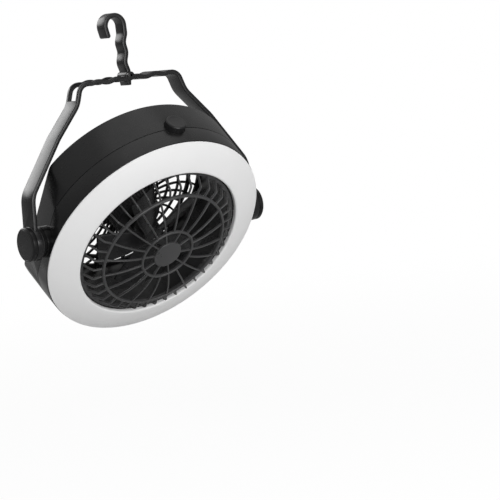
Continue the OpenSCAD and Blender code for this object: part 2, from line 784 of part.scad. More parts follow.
module pivot_washers() color("#a5a8ac") for (side = sides) on_side(side)
    ring_washer(pivot_screw_r + fit, retainer_r, spigot_x1 + fit, spigot_x1 + fit + retainer_t);

module pivot_screws() color("#8d9095") for (side = sides) on_side(side) {
    rod(pivot_screw_r, stud_x0 + 6, spigot_x1 + fit + retainer_t);
    rod(pivot_head_r, spigot_x1 + 2 * fit + retainer_t, spigot_x1 + 2 * fit + retainer_t + pivot_head_t);
    rod(pivot_screw_r, spigot_x1 + retainer_t, spigot_x1 + 3 * fit + retainer_t);
}

module side_cap() rotate([0, 90, 0]) difference() {
    union() {
        disc(cap_r, cap_x0, cap_x1 - 0.8);
        translate([0, 0, cap_x1 - 0.8]) cylinder(r1 = cap_r, r2 = cap_r - 0.8, h = 0.8);
    }
    disc(retainer_r + fit, cap_x0 - 1, spigot_x1 + 3 * fit + retainer_t + pivot_head_t);
}

module side_cap_left() color("#2a2a2c") on_side(-1) side_cap();
module side_cap_right() color("#2a2a2c") on_side(1) side_cap();

// The strap's centre line, from one eye over the top bar to the other eye
arm_path = concat(
    [[arm_d / cos(arm_lean), 0]],
    corner(arm_lines[0], arm_lines[1], arm_rounds[0]),
    corner(arm_lines[1], arm_lines[2], arm_rounds[1]),
    hollow(arm_lines[2], arm_lines[3], arm_rounds[2]),
    corner(arm_lines[3], arm_lines[4], arm_rounds[3])
);
bar_end = arm_path[len(arm_path) - 1][0] - 2;
bar_path = [for (i = [0:40]) let (x = bar_end * (1 - i / 20), fade = min(1, (bar_end - abs(x)) / 4))
    [x, bar_z + fade * bar_wave * cos(360 * (x - bar_phase) / bar_pitch)]];
strap_path = concat(arm_path, bar_path, mirrored(arm_path));

module handle() color("#2b2b2d") hung() difference() {
    union() {
        across(strap_w) polygon(strip(strap_path, strap_t));
        for (side = sides) mirror([side < 0 ? 1 : 0, 0, 0]) rod(eye_r, eye_x0, eye_x1);
        translate([pin_x, 0, pin_z]) across(strap_w) circle(r = knuckle_r - boss_gap);
    }
    translate([-big, -slot_w / 2, slot_z]) cube([big + slot_x, slot_w, big]);
    for (side = sides) mirror([side < 0 ? 1 : 0, 0, 0]) rod(spigot_r + fit, eye_x0 - 1, eye_x1 + 2 * eye_t);
    for (side = sides) mirror([side < 0 ? 1 : 0, 0, 0]) translate([eye_x1, 0, 0]) rod(eye_r + 1, 0, 2 * eye_t);
    translate([pin_x, 0, pin_z]) across(strap_w + 2) circle(r = pin_r);
}

// The hook's centre line, from its pin up the waved shank and round the crown to the tip
shank_rise = shank_x - shank_base - hook_wave;
shank_path = [for (i = [0:32]) let (z = pin_z + (shank_top - pin_z) * i / 32, u = max(0, (i - 14) / 18))
    [shank_base + shank_rise * u * u * (3 - 2 * u) + hook_wave * cos(360 * (z - shank_top) / hook_pitch), z]];
curl_end = 180 + curl_angle;
curl_path = arc([crown_x, crown_z], crown_mid, 0, curl_end, 24);
tip_end = curl_path[24] + tip_len * [-sin(curl_end), cos(curl_end)];
hook_path = concat(shank_path, curl_path, [tip_end]);

module hook() color("#2b2b2d") hung() difference() {
    union() {
        across(hook_w) polygon(strip(hook_path, hook_t));
        translate([tip_end[0], 0, tip_end[1]]) across(hook_w) circle(d = hook_t);
        translate([pin_x, 0, pin_z]) across(hook_w) circle(r = knuckle_r);
        translate([pin_x - foot_shift, 0, pin_z]) across(hook_w) polygon([
            [-foot_w / 2, 0], [foot_w / 2, 0], [foot_end_w / 2, -foot_z], [-foot_end_w / 2, -foot_z]
        ]);
    }
    translate([pin_x, 0, pin_z]) across(hook_w + 2) circle(r = pin_r + hinge_gap);
}

module hook_pin() color("#c8cacc") hung() translate([pin_x, 0, pin_z])
    across(strap_w) circle(r = pin_r);

module push_button() color("#242426") in_drum() radial(button_angle, button_z) {
    disc(button_r, button_seat - flange_t, button_top - 0.7);
    translate([0, 0, button_top - 0.7]) cylinder(r1 = button_r, r2 = button_r - 0.7, h = 0.7);
    disc(flange_r, button_seat - flange_t, button_seat);
    disc(2.4, stem_end + fit, button_seat);
}

module switch_plunger() color("#e6e6e6") in_drum() radial(button_angle, button_z)
    disc(plunger_r, board_top + 1.6, stem_end);

module switch_body() color("#3a3a3c") in_drum() radial(button_angle, button_z) difference() {
    translate([-switch_size[0] / 2, -switch_size[1] / 2, board_top + fit])
        cube([switch_size[0], switch_size[1], switch_size[2] - fit]);
    disc(plunger_r + fit, board_top + 0.4, switch_top + 1);
}

module control_board() color("#2d6b3c") in_drum() radial(button_angle, button_z)
    translate([-control_size[0] / 2, control_shift - control_size[1] / 2, control_r])
        cube([control_size[0], control_size[1], board_t]);

module battery_cells() color("#3f6fae") in_drum() for (a = cell_angles) rotate([0, 0, a])
    translate([cell_d, 0, -cell_z]) rotate([90, 0, 0]) {
        cylinder(r = cell_r, h = cell_len - 1.6, center = true);
        cylinder(r = 2.6, h = cell_len, center = true);
    }

module battery_tabs() color("#c0c2c4") in_drum() for (a = cell_angles) rotate([0, 0, a])
    for (side = sides) translate([cell_d, side * ((cell_len + tab_size[1]) / 2 + fit), -cell_z])
        cube(tab_size, center = true);

module charge_board() color("#2d6b3c") in_drum() rotate([0, 0, socket_angle])
    translate([charge_out - charge_size[1], -charge_size[0] / 2, charge_back])
        cube([charge_size[1], charge_size[0], board_t]);

module charge_socket() color("#b4b7ba") in_drum() rotate([0, 0, socket_angle])
    translate([socket_in, 0, socket_size[1] / 2 - charge_z + fit]) rotate([90, 0, 90]) {
        difference() {
            linear_extrude(socket_size[2]) rounded_bar(socket_size[0], socket_size[1]);
            translate([0, 0, 1.2]) linear_extrude(socket_size[2])
                rounded_bar(socket_size[0] - 0.7, socket_size[1] - 0.7);
        }
        linear_extrude(socket_size[2] - 1.2) square([6.7, 0.7], center = true);
    }

// Two leads from the motor along the rear grille's channel into the drum
module motor_leads() color("#202020") in_drum() rotate([0, 0, lead_angle]) for (side = sides)
    translate([cup_r - cup_wall - 0.6, side * (cable_r + 0.4), grille_front + cable_r + 0.15])
        rotate([0, 90, 0]) cylinder(r = cable_r, h = duct_out + 5 - cup_r + cup_wall);

// Leads that run round the duct from the control board to the cells and the charging board
module power_leads() color("#202020") in_drum() for (i = [0:1])
    rotate([0, 0, button_angle + 10]) rotate_extrude(angle = socket_angle - button_angle - 10)
        translate([lead_r0 + i * lead_step, lead_z]) circle(r = cable_r);

front_housing();
rear_housing();
diffuser();
light_board();
light_chips();
front_grille();
rear_grille();
impeller();
motor_shaft();
motor();
motor_cup();
motor_bearing();
motor_screws();
housing_screws();
pivot_stud_left();
pivot_stud_right();
pivot_washers();
friction_washers();
pivot_screws();
side_cap_left();
side_cap_right();
handle();
hook();
hook_pin();
push_button();
switch_plunger();
switch_body();
control_board();
battery_cells();
battery_tabs();
charge_board();
charge_socket();
motor_leads();
power_leads();
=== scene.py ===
import json
import math
from math import cos, radians, sin
import bmesh
import bpy
from mathutils import Matrix, Vector


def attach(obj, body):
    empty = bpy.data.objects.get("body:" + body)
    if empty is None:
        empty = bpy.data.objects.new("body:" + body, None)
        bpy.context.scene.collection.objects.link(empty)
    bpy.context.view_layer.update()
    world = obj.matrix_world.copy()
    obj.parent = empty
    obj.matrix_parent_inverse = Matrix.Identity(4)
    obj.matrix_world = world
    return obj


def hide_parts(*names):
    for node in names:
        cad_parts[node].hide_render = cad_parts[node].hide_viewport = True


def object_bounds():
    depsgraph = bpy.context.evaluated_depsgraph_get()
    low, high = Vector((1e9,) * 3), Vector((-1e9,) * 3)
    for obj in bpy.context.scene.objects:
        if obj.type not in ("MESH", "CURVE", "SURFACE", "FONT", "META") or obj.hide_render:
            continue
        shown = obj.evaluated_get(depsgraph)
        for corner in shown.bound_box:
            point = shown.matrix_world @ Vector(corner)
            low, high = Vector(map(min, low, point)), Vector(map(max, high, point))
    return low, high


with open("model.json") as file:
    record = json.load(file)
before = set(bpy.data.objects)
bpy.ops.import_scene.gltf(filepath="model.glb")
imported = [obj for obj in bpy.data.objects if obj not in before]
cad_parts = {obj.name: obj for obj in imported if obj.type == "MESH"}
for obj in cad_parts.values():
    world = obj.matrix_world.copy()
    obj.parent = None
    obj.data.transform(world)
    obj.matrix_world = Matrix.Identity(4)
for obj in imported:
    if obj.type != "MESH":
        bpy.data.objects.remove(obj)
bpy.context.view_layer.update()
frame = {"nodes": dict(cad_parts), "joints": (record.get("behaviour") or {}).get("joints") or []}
print("frame loaded:", len(frame["nodes"]), "nodes")

mm = 0.001
fullTurn = 2 * math.pi
jointNamed = {joint["name"]: joint for joint in frame["joints"]}
pivotPoint = Vector(jointNamed["drum_tilt"]["pos_m"])
wheelAxis = Vector(jointNamed["wheel_spin"]["axis"])
sideAxis = Vector((1, 0, 0))
faceUp = wheelAxis.cross(sideAxis)
# Pieces are drawn in millimetres. hungPlace sets one down at the pivots,
# and drumPlace also tips it with the drum.
hungPlace = Matrix.Translation(pivotPoint) @ Matrix.Scale(mm, 4)
drumTurn = Matrix((sideAxis, faceUp, wheelAxis)).transposed().to_4x4()
drumPlace = Matrix.Translation(pivotPoint) @ drumTurn @ Matrix.Scale(mm, 4)


def placed(name, data):
    item = bpy.data.objects.new(name, data)
    bpy.context.scene.collection.objects.link(item)
    return item


# shapes that several pieces share

def arcPoints(centre, radius, start, end, steps):
    points = []
    for step in range(steps + 1):
        angle = radians(start + (end - start) * step / steps)
        points.append(centre + radius * Vector((cos(angle), sin(angle))))
    return points


def roundedOutline(corners, closed=True, steps=5):
    outline = []
    last = len(corners) - 1
    most = 0.45  # of a side, so that its two rounds never meet
    for index, (x, y, radius) in enumerate(corners):
        corner = Vector((x, y))
        if radius == 0 or (not closed and index in (0, last)):
            outline.append(corner)
            continue
        before = Vector(corners[index - 1][:2]) - corner
        after = Vector(corners[(index + 1) % len(corners)][:2]) - corner
        half = before.angle(after) / 2
        reach = min(radius / math.tan(half), most * before.length, most * after.length)
        inward = (before.normalized() + after.normalized()).normalized()
        centre = corner + inward * reach / cos(half)
        first = corner + reach * before.normalized() - centre
        final = corner + reach * after.normalized() - centre
        begin = math.atan2(first.y, first.x)
        sweep = (math.atan2(final.y, final.x) - begin + math.pi) % fullTurn - math.pi
        outline += arcPoints(centre, first.length, math.degrees(begin), math.degrees(begin + sweep), steps)
    return outline


def lathe(outline, segments=192, closed=True, turn=360, start=0, limit=None):
    shape = bmesh.new()
    whole = turn == 360
    columns = segments if whole else segments + 1
    rings = []
    for radius, height in outline:
        if radius < 1e-4:
            rings.append([shape.verts.new((0, 0, height))] * columns)  # a pole is one shared point
            continue
        ring = []
        for column in range(columns):
            angle = radians(start + turn * column / segments)
            reach = limit(radius, height, angle) if limit else radius
            ring.append(shape.verts.new((reach * cos(angle), reach * sin(angle), height)))
        rings.append(ring)
    for row in range(len(rings) if closed else len(rings) - 1):
        near, far = rings[row], rings[(row + 1) % len(rings)]
        for column in range(segments):
            after = (column + 1) % columns
            corners = list(dict.fromkeys([near[column], near[after], far[after], far[column]]))
            if len(corners) > 2:
                shape.faces.new(corners)
    if not whole:
        shape.faces.new([ring[0] for ring in rings])
        shape.faces.new([ring[-1] for ring in rings])
    return toMesh(shape)


def stored(shape):
    mesh = bpy.data.meshes.new("shape")
    shape.to_mesh(mesh)
    shape.free()
    return mesh


def toMesh(shape):
    bmesh.ops.recalc_face_normals(shape, faces=shape.faces)
    return stored(shape)


def skinned(shape, rings):
    # sides from ring to ring and a face at each end
    for near, far in zip(rings, rings[1:]):
        for index in range(len(near)):
            after = (index + 1) % len(near)
            shape.faces.new([near[index], near[after], far[after], far[index]])
    shape.faces.new(rings[0])
    shape.faces.new(rings[-1])
    return toMesh(shape)


def sweepBar(path, width, depth, corner, steps=3):
    # the path lies in XZ; width runs along Y, depth across the path
    section = roundedOutline([
        (-depth / 2, -width / 2, corner), (depth / 2, -width / 2, corner),
        (depth / 2, width / 2, corner), (-depth / 2, width / 2, corner),
    ], steps=steps)
    shape = bmesh.new()
    rings = []
    for index, point in enumerate(path):
        ahead = path[min(index + 1, len(path) - 1)] - path[max(index - 1, 0)]
        normal = Vector((-ahead.y, ahead.x)).normalized()
        rings.append([
            shape.verts.new((point.x + across * normal.x, along, point.y + across * normal.y))
            for across, along in section
        ])
    return skinned(shape, rings)


def boxMesh(low, high):
    shape = bmesh.new()
    bmesh.ops.create_cube(shape, size=1)
    low, high = Vector(low), Vector(high)
    for vert in shape.verts:
        vert.co = (low + high) / 2 + Vector(side * span for side, span in zip(vert.co, high - low))
    return toMesh(shape)


def moved(mesh, place):
    mesh.transform(place)
    return mesh


def quarterTurn(axis, quarters=1):
    return Matrix.Rotation(quarters * math.pi / 2, 4, axis)


def turned(corners, segments=96):
    # a solid whose outline starts and ends on the axis
    return lathe(roundedOutline(corners, closed=False), segments, closed=False)


def rodMesh(radius, low, high, corner=0.3, segments=96):
    return turned([(0, low, 0), (radius, low, corner), (radius, high, corner), (0, high, 0)], segments)


def pointsMesh(places):
    mesh = bpy.data.meshes.new("points")
    mesh.from_pydata(places, [], [])
    return mesh


def joined(*meshes):
    shape = bmesh.new()
    for mesh in meshes:
        shape.from_mesh(mesh)
    return stored(shape)


def evaluated(mesh, addModifiers):
    work = placed("work", mesh)
    addModifiers(work)
    bpy.context.view_layer.update()
    result = bpy.data.meshes.new_from_object(work.evaluated_get(bpy.context.evaluated_depsgraph_get()))
    bpy.data.objects.remove(work)
    return result


def combined(mesh, others, operation="DIFFERENCE"):
    tools = [placed("tool", other) for other in others]

    def addModifiers(work):
        for tool in tools:
            modifier = work.modifiers.new("combine", "BOOLEAN")
            modifier.operation = operation
            modifier.solver = "EXACT"
            modifier.object = tool
    result = evaluated(mesh, addModifiers)
    for tool in tools:
        bpy.data.objects.remove(tool)
    return result


def softened(mesh, width, angle=50, segments=2):
    def addModifiers(work):
        modifier = work.modifiers.new("soften", "BEVEL")
        modifier.width = width
        modifier.segments = segments
        modifier.limit_method = "ANGLE"
        modifier.angle_limit = radians(angle)
    return evaluated(mesh, addModifiers)


# geometry node trees for what repeats

def newTree(name, inputs):
    tree = bpy.data.node_groups.new(name, "GeometryNodeTree")
    tree.interface.new_socket("Geometry", in_out="INPUT", socket_type="NodeSocketGeometry")
    for label, kind in inputs:
        tree.interface.new_socket(label, in_out="INPUT", socket_type=kind)
    tree.interface.new_socket("Geometry", in_out="OUTPUT", socket_type="NodeSocketGeometry")
    return tree, tree.nodes.new("NodeGroupInput"), tree.nodes.new("NodeGroupOutput")


def setInputs(tree, node, values):
    # a node given as a value stands for its first output
    for name, value in values.items():
        if isinstance(value, bpy.types.Node):
            value = value.outputs[0]
        if isinstance(value, bpy.types.NodeSocket):
            tree.links.new(value, node.inputs[name])
        else:
            node.inputs[name].default_value = value


def addNode(tree, kind, values=None, **settings):
    node = tree.nodes.new(kind)
    for name, value in settings.items():
        setattr(node, name, value)
    setInputs(tree, node, values or {})
    return node


def calculated(tree, operation, *values):
    return addNode(tree, "ShaderNodeMath", dict(enumerate(values)), operation=operation)


def placeCopies(tree, given, result, points, piece, rotation):
    copies = addNode(tree, "GeometryNodeInstanceOnPoints", {
        "Points": points, "Instance": piece, "Rotation": rotation})
    real = addNode(tree, "GeometryNodeRealizeInstances", {0: copies})
    dressed = addNode(tree, "GeometryNodeSetMaterial", {
        "Geometry": real, "Material": given.outputs["Finish"]})
    setInputs(tree, result, {0: dressed})
    return tree


def makeRoundTree():
    # copies of one piece, evenly round the Z axis
    tree, given, result = newTree("evenlyRound", [
        ("Count", "NodeSocketInt"), ("First angle", "NodeSocketFloat"), ("Finish", "NodeSocketMaterial")])
    points = addNode(tree, "GeometryNodePoints", {"Count": given.outputs["Count"]})
    index = addNode(tree, "GeometryNodeInputIndex")
    step = calculated(tree, "DIVIDE", 360.0, given.outputs["Count"])
    angle = calculated(tree, "MULTIPLY_ADD", index, step, given.outputs["First angle"])
    turn = addNode(tree, "ShaderNodeCombineXYZ", {"Z": calculated(tree, "RADIANS", angle)})
    rotation = addNode(tree, "FunctionNodeEulerToRotation", {0: turn})
    return placeCopies(tree, given, result, points, given.outputs["Geometry"], rotation)


def makeScatterTree():
    # one copy of a piece at every given point, each turned its own way about Z
    tree, given, result = newTree("atEachPoint", [
        ("Copied piece", "NodeSocketObject"), ("Seed", "NodeSocketInt"), ("Finish", "NodeSocketMaterial")])
    piece = addNode(tree, "GeometryNodeObjectInfo", {"Object": given.outputs["Copied piece"]})
    chance = addNode(tree, "FunctionNodeRandomValue", {
        "Max": (0.0, 0.0, math.pi), "Seed": given.outputs["Seed"]}, data_type="FLOAT_VECTOR")
    rotation = addNode(tree, "FunctionNodeEulerToRotation", {0: chance})
    return placeCopies(tree, given, result, given.outputs["Geometry"], piece.outputs["Geometry"], rotation)


def grown(mesh, tree, values):
    def addModifiers(work):
        modifier = work.modifiers.new("grow", "NODES")
        modifier.node_group = tree
        for item in tree.interface.items_tree:
            if item.in_out == "INPUT" and item.name in values:
                modifier[item.identifier] = values[item.name]
    return evaluated(mesh, addModifiers)


roundTree = makeRoundTree()
scatterTree = makeScatterTree()
print("geometry trees made")


# finishes

def newGroup(name, inputs, outputs):
    group = bpy.data.node_groups.new(name, "ShaderNodeTree")
    for label, value in inputs.items():
        kind = "NodeSocketFloat" if isinstance(value, float) else "NodeSocketVector"
        group.interface.new_socket(label, in_out="INPUT", socket_type=kind).default_value = value
    for label in outputs:
        group.interface.new_socket(label, in_out="OUTPUT", socket_type="NodeSocketFloat")
    return group, group.nodes.new("NodeGroupInput"), group.nodes.new("NodeGroupOutput")


def objectPlace(tree):
    return addNode(tree, "ShaderNodeTexCoord").outputs["Object"]


def noise(tree, vector, scale, detail=2.0, roughness=0.5):
    return addNode(tree, "ShaderNodeTexNoise", {
        "Vector": vector, "Scale": scale, "Detail": detail, "Roughness": roughness})


def remapped(tree, value, given=(0.0, 1.0), wanted=(0.0, 1.0), blend="LINEAR"):
    return addNode(tree, "ShaderNodeMapRange", {
        "Value": value, "From Min": given[0], "From Max": given[1],
        "To Min": wanted[0], "To Max": wanted[1]}, interpolation_type=blend)


def makeGrainGroup():
    group, given, result = newGroup(
        "mouldedGrain", {"Grain per mm": 2.0, "Cloud per mm": 0.03}, ("Cloud", "Height"))
    inMm = addNode(group, "ShaderNodeVectorMath", {
        0: objectPlace(group), "Scale": 1 / mm}, operation="SCALE")
    cloud = noise(group, inMm, given.outputs["Cloud per mm"], 5.0, 0.6)
    grain = noise(group, inMm, given.outputs["Grain per mm"])
    pits = addNode(group, "ShaderNodeTexVoronoi", {
        "Vector": inMm, "Scale": given.outputs["Grain per mm"]}, feature="SMOOTH_F1")
    height = calculated(group, "ADD", grain, pits.outputs["Distance"])
    setInputs(group, result, {"Cloud": cloud, "Height": height})
    return group


def makeDustGroup():
    group, given, result = newGroup("settledDust", {"Amount": 0.1}, ("Mask",))
    skin = addNode(group, "ShaderNodeNewGeometry")
    parts = addNode(group, "ShaderNodeSeparateXYZ", {0: skin.outputs["Normal"]})
    facing = remapped(group, parts.outputs["Z"], (0.2, 1.0), blend="SMOOTHSTEP")
    patches = noise(group, objectPlace(group), 90.0, 6.0, 0.7)
    spread = calculated(group, "MULTIPLY", facing, remapped(group, patches, (0.35, 0.75)))
    setInputs(group, result, {"Mask": calculated(group, "MULTIPLY", spread, given.outputs["Amount"])})
    return group


def makeScuffGroup():
    group, given, result = newGroup("fineScuffs", {"Stretch": (1.0, 1.0, 1.0)}, ("Mask",))
    drawn = addNode(group, "ShaderNodeVectorMath", {
        0: objectPlace(group), 1: given.outputs["Stretch"]}, operation="MULTIPLY")
    lines = noise(group, drawn, 400.0, 3.0)
    setInputs(group, result, {"Mask": remapped(group, lines, (0.45, 0.7))})
    return group


grainGroup = makeGrainGroup()
dustGroup = makeDustGroup()
scuffGroup = makeScuffGroup()


def groupNode(tree, group, values):
    return addNode(tree, "ShaderNodeGroup", values, node_tree=group)


def mixColour(tree, factor, *tones):
    first, second = (tone if isinstance(tone, bpy.types.NodeSocket) else (*tone, 1) for tone in tones)
    return addNode(tree, "ShaderNodeMix", {0: factor, 6: first, 7: second}, data_type="RGBA").outputs[2]


def newMaterial(name):
    material = bpy.data.materials.new(name)
    material.use_nodes = True
    return material, material.node_tree, material.node_tree.nodes["Principled BSDF"]


surface = {
    "dust": (0.42, 0.40, 0.37), "glossSpread": 0.06, "coatRoughness": 0.12, "grainRelief": 0.1 * mm,
    "metalDark": 0.75, "scuffSpread": 0.2, "scuffBump": 0.15, "scuffRelief": 0.05 * mm,
}


def plastic(name, colour, roughness, grain=2.0, bump=0.08, cloud=0.2, dust=0.05, coat=0.0, specular=0.5):
    material, tree, shader = newMaterial(name)
    texture = groupNode(tree, grainGroup, {"Grain per mm": grain})
    settled = groupNode(tree, dustGroup, {"Amount": dust})
    darker = [channel * (1 - cloud) for channel in colour]
    lighter = [min(1.0, channel * (1 + cloud)) for channel in colour]
    tone = mixColour(tree, texture.outputs["Cloud"], darker, lighter)
    dusted = mixColour(tree, settled.outputs["Mask"], tone, surface["dust"])
    glossiest, dullest = roughness - surface["glossSpread"], roughness + surface["glossSpread"]
    rough = remapped(tree, texture.outputs["Cloud"], (0.3, 0.7), (glossiest, dullest))
    relief = addNode(tree, "ShaderNodeBump", {
        "Height": texture.outputs["Height"], "Strength": bump, "Distance": surface["grainRelief"]})
    setInputs(tree, shader, {
        "Base Color": dusted, "Roughness": rough, "Normal": relief,
        "Coat Weight": coat, "Coat Roughness": surface["coatRoughness"], "Specular IOR Level": specular})
    return material


def metal(name, colour, roughness, stretch):
    material, tree, shader = newMaterial(name)
    lines = groupNode(tree, scuffGroup, {"Stretch": stretch})
    texture = groupNode(tree, grainGroup, {"Grain per mm": 3.0, "Cloud per mm": 0.2})
    darker = [channel * surface["metalDark"] for channel in colour]
    tone = mixColour(tree, texture.outputs["Cloud"], darker, colour)
    rough = remapped(tree, lines.outputs["Mask"], wanted=(roughness, roughness + surface["scuffSpread"]))
    relief = addNode(tree, "ShaderNodeBump", {
        "Height": lines.outputs["Mask"], "Strength": surface["scuffBump"],
        "Distance": surface["scuffRelief"]})
    setInputs(tree, shader, {"Base Color": tone, "Roughness": rough, "Normal": relief, "Metallic": 1.0})
    return material


finish = {
    "housing": plastic(
        "housingPlastic", (0.009, 0.009, 0.0093), 0.28, grain=3.0, bump=0.1, dust=0.015, specular=0.28),
    "strap": plastic(
        "strapPlastic", (0.009, 0.009, 0.0095), 0.28, grain=2.5, bump=0.04, dust=0.015, specular=0.38),
    "ring": plastic("ringPlastic", (0.89, 0.89, 0.89), 0.5, grain=1.5, bump=0.03, cloud=0.015, dust=0.02),
    "cage": plastic("cagePlastic", (0.05, 0.05, 0.051), 0.3, grain=3.0, bump=0.05, dust=0.04),
    "back": plastic(
        "backCagePlastic", (0.009, 0.009, 0.0095), 0.45, grain=3.0, bump=0.08, dust=0.02, specular=0.2),
    "blade": plastic(
        "bladePlastic", (0.012, 0.012, 0.0125), 0.26, grain=1.2, bump=0.03, dust=0.06, specular=0.3),
    "cup": plastic(
        "cupPlastic", (0.025, 0.025, 0.026), 0.38, grain=3.0, bump=0.06, dust=0.05, specular=0.3),
    "cap": plastic(
        "capPlastic", (0.007, 0.007, 0.0073), 0.3, grain=3.0, bump=0.06, dust=0.01, specular=0.26),
    "button": plastic(
        "buttonPlastic", (0.013, 0.013, 0.0135), 0.34, grain=2.5, bump=0.06, dust=0.03, specular=0.3),
    "rubber": plastic("washerRubber", (0.012, 0.012, 0.012), 0.75, grain=4.0, bump=0.2),
    "white": plastic("whitePlastic", (0.72, 0.73, 0.72), 0.5, cloud=0.05),
    "board": plastic("boardLacquer", (0.02, 0.12, 0.045), 0.3, grain=5.0, bump=0.03, coat=0.4),
    "lamp": plastic("lampResin", (0.75, 0.62, 0.18), 0.25, grain=4.0, bump=0.02),
    "cell": plastic("cellFilm", (0.02, 0.09, 0.25), 0.28, cloud=0.08, bump=0.02, coat=0.3),
    "blackLead": plastic("blackLead", (0.015, 0.015, 0.015), 0.5),
    "steel": metal("turnedSteel", (0.55, 0.56, 0.57), 0.28, (1.0, 6.0, 1.0)),
    "motor": metal("motorCan", (0.42, 0.43, 0.44), 0.35, (1.0, 1.0, 8.0)),
    "brass": metal("bearingBrass", (0.55, 0.38, 0.14), 0.3, (1.0, 1.0, 1.0)),
}
print("finishes made:", len(finish))


def setPiece(name, mesh, finishName, body, nodes, crease=38):
    mesh.name = name
    mesh.materials.clear()
    mesh.materials.append(finish[finishName])
    mesh.shade_smooth()
    mesh.set_sharp_from_angle(angle=radians(crease))
    piece = placed(name, mesh)
    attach(piece, body)
    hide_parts(*nodes)
    print("piece:", name, len(mesh.polygons), "faces")
    return piece


# the drum

drum = {
    "frontRadius": 90.4, "seamRadius": 91.0, "rearRadius": 91.7, "frontDepth": 15.6, "rearDepth": 30.0,
    "wall": 2.2, "rearRound": 3.5, "edgeRound": 0.5, "flatX": 85.2, "flatSlope": math.tan(radians(13.2)),
    "flatBlend": 0.35, "blendReach": 12, "flatEdge": 1.2, "rearLand": 9.0, "seatLand": 15.0,
    "grooveHalf": 0.25, "grooveDepth": 0.6, "ductRadius": 66.0, "ductWall": 1.8, "ductDepth": 21.2,
    "floorDepth": 10.4, "floorWall": 1.8, "ledgeBack": 17.6, "ledgeFront": 19.2, "ledgeReach": 2.0,
    "seatRadius": 67.0, "seatDepth": 27.8, "segments": 360,
    "bossRadius": 11.8, "bossHole": 6.55, "bossInner": 80.5, "bossFace": 90.0,
    "buttonAngle": 87.4, "buttonDepth": -2.0, "buttonHole": 8.25, "buttonCut": (-6.0, 4.0),
    "screwAngles": (36, 144, 200, 250.5, 299, 336), "screwCircle": 79.0,
    "wellRadius": 3.0, "wellDepth": 1.9, "wellCut": 3.0,
    "socketAngle": 314.0, "socketDepth": -13.0, "socketWidth": 9.6, "socketHeight": 3.8,
    "socketCut": (-7.0, 7.0),
}
ductOut = drum["ductRadius"] + drum["ductWall"]
innerSkin = drum["seamRadius"] - drum["wall"]
grooveBed = drum["seamRadius"] - drum["grooveDepth"]


def besideFlats(radius, height, angle):
    # draws a point of the round skin in to the flats beside the pivots
    d = drum
    half = "front" if height > 0 else "rear"
    skin = d["seamRadius"] - (d["seamRadius"] - d[half + "Radius"]) * abs(height) / d[half + "Depth"]
    inset = min(max(skin - radius, 0), d["wall"])
    beyond = d["flatEdge"] - d["rearDepth"] - height
    if 0 < beyond <= d["flatEdge"]:
        inset += d["flatEdge"] - math.sqrt(d["flatEdge"] ** 2 - beyond ** 2)
    atRearEdge = radius > d["seatRadius"] + d["seatLand"] and height < d["rearRound"] - d["rearDepth"]
    if atRearEdge and inset < d["wall"] * 2:
        inset = min(inset, d["flatEdge"])
    reach = (d["flatX"] + d["flatSlope"] * height - inset) / max(abs(cos(angle)), 1e-6)
    if abs(reach - radius) > d["blendReach"] * d["flatBlend"]:
        return min(radius, reach)
    return reach - d["flatBlend"] * math.log(math.exp((reach - radius) / d["flatBlend"]) + 1)


def radialPlace(angle, depth):
    # stands something drawn along +Z on the drum's rim
    return (Matrix.Translation((0, 0, depth)) @ Matrix.Rotation(radians(angle - 90), 4, "Z")
            @ quarterTurn("X", -1))


def frontShell():
    d = drum
    ledge = d["ductRadius"] - d["ledgeReach"]
    backOfFloor = d["floorDepth"] - d["floorWall"]
    corners = [
        (d["seamRadius"], d["grooveHalf"], 0.25), (d["frontRadius"], d["frontDepth"], d["edgeRound"]),
        (d["frontRadius"] - d["wall"], d["frontDepth"], 0.2),
        (d["frontRadius"] - d["wall"], d["floorDepth"], 0.4),
        (ductOut, d["floorDepth"], 0.4), (ductOut, d["ductDepth"], 0.2),
        (d["ductRadius"], d["ductDepth"], 0.5), (d["ductRadius"], d["ledgeFront"], 0.2),
        (ledge, d["ledgeFront"], 0.3), (ledge, d["ledgeBack"], 0.3), (d["ductRadius"], d["ledgeBack"], 0.3),
        (d["ductRadius"], 0, 0.15), (ductOut, 0, 0), (ductOut, backOfFloor, 0.3),
        (innerSkin, backOfFloor, 0.3), (innerSkin, 0, 0),
        (grooveBed, 0, 0), (grooveBed, d["grooveHalf"], 0),
    ]
    return lathe(roundedOutline(corners), d["segments"], limit=besideFlats)


def rearShell():
    d = drum
    back = d["wall"] - d["rearDepth"]
    corners = [
        (d["seamRadius"], -d["grooveHalf"], 0.25), (grooveBed, -d["grooveHalf"], 0), (grooveBed, 0, 0),
        (innerSkin, 0, 0), (d["rearRadius"] - d["wall"], back, 1.3), (ductOut, back, 0.3),
        (ductOut, 0, 0), (d["ductRadius"], 0, 0.15), (d["ductRadius"], -d["seatDepth"], 0.15),
        (d["seatRadius"], -d["seatDepth"], 0), (d["seatRadius"], -d["rearDepth"], 0.3),
        (d["rearRadius"] - d["rearLand"], -d["rearDepth"], 0),
        (d["rearRadius"], -d["rearDepth"], d["rearRound"]),
    ]
    return lathe(roundedOutline(corners, steps=10), d["segments"], limit=besideFlats)


def bossHalf(front):
    d = drum
    outline = roundedOutline([
        (d["bossHole"], d["bossInner"], 0), (d["bossRadius"], d["bossInner"], 0),
        (d["bossRadius"], d["bossFace"], 0.4), (d["bossHole"], d["bossFace"], 0.2)])
    gap = math.degrees(d["grooveHalf"] / d["bossRadius"])
    start = 90 + gap if front else -90 + gap
    half = lathe(outline, 48, turn=180 - 2 * gap, start=start)
    return moved(half, quarterTurn("Y"))  # the lathe's axis is turned onto X


def bosses(front):
    right = bossHalf(front)
    left = right.copy()
    left.transform(Matrix.Scale(-1, 4, (1, 0, 0)))
    left.flip_normals()
    return joined(right, left)


def throughSkin(name):
    # how far in and out of the seam's radius a cutter reaches
    return [drum["seamRadius"] + reach for reach in drum[name]]


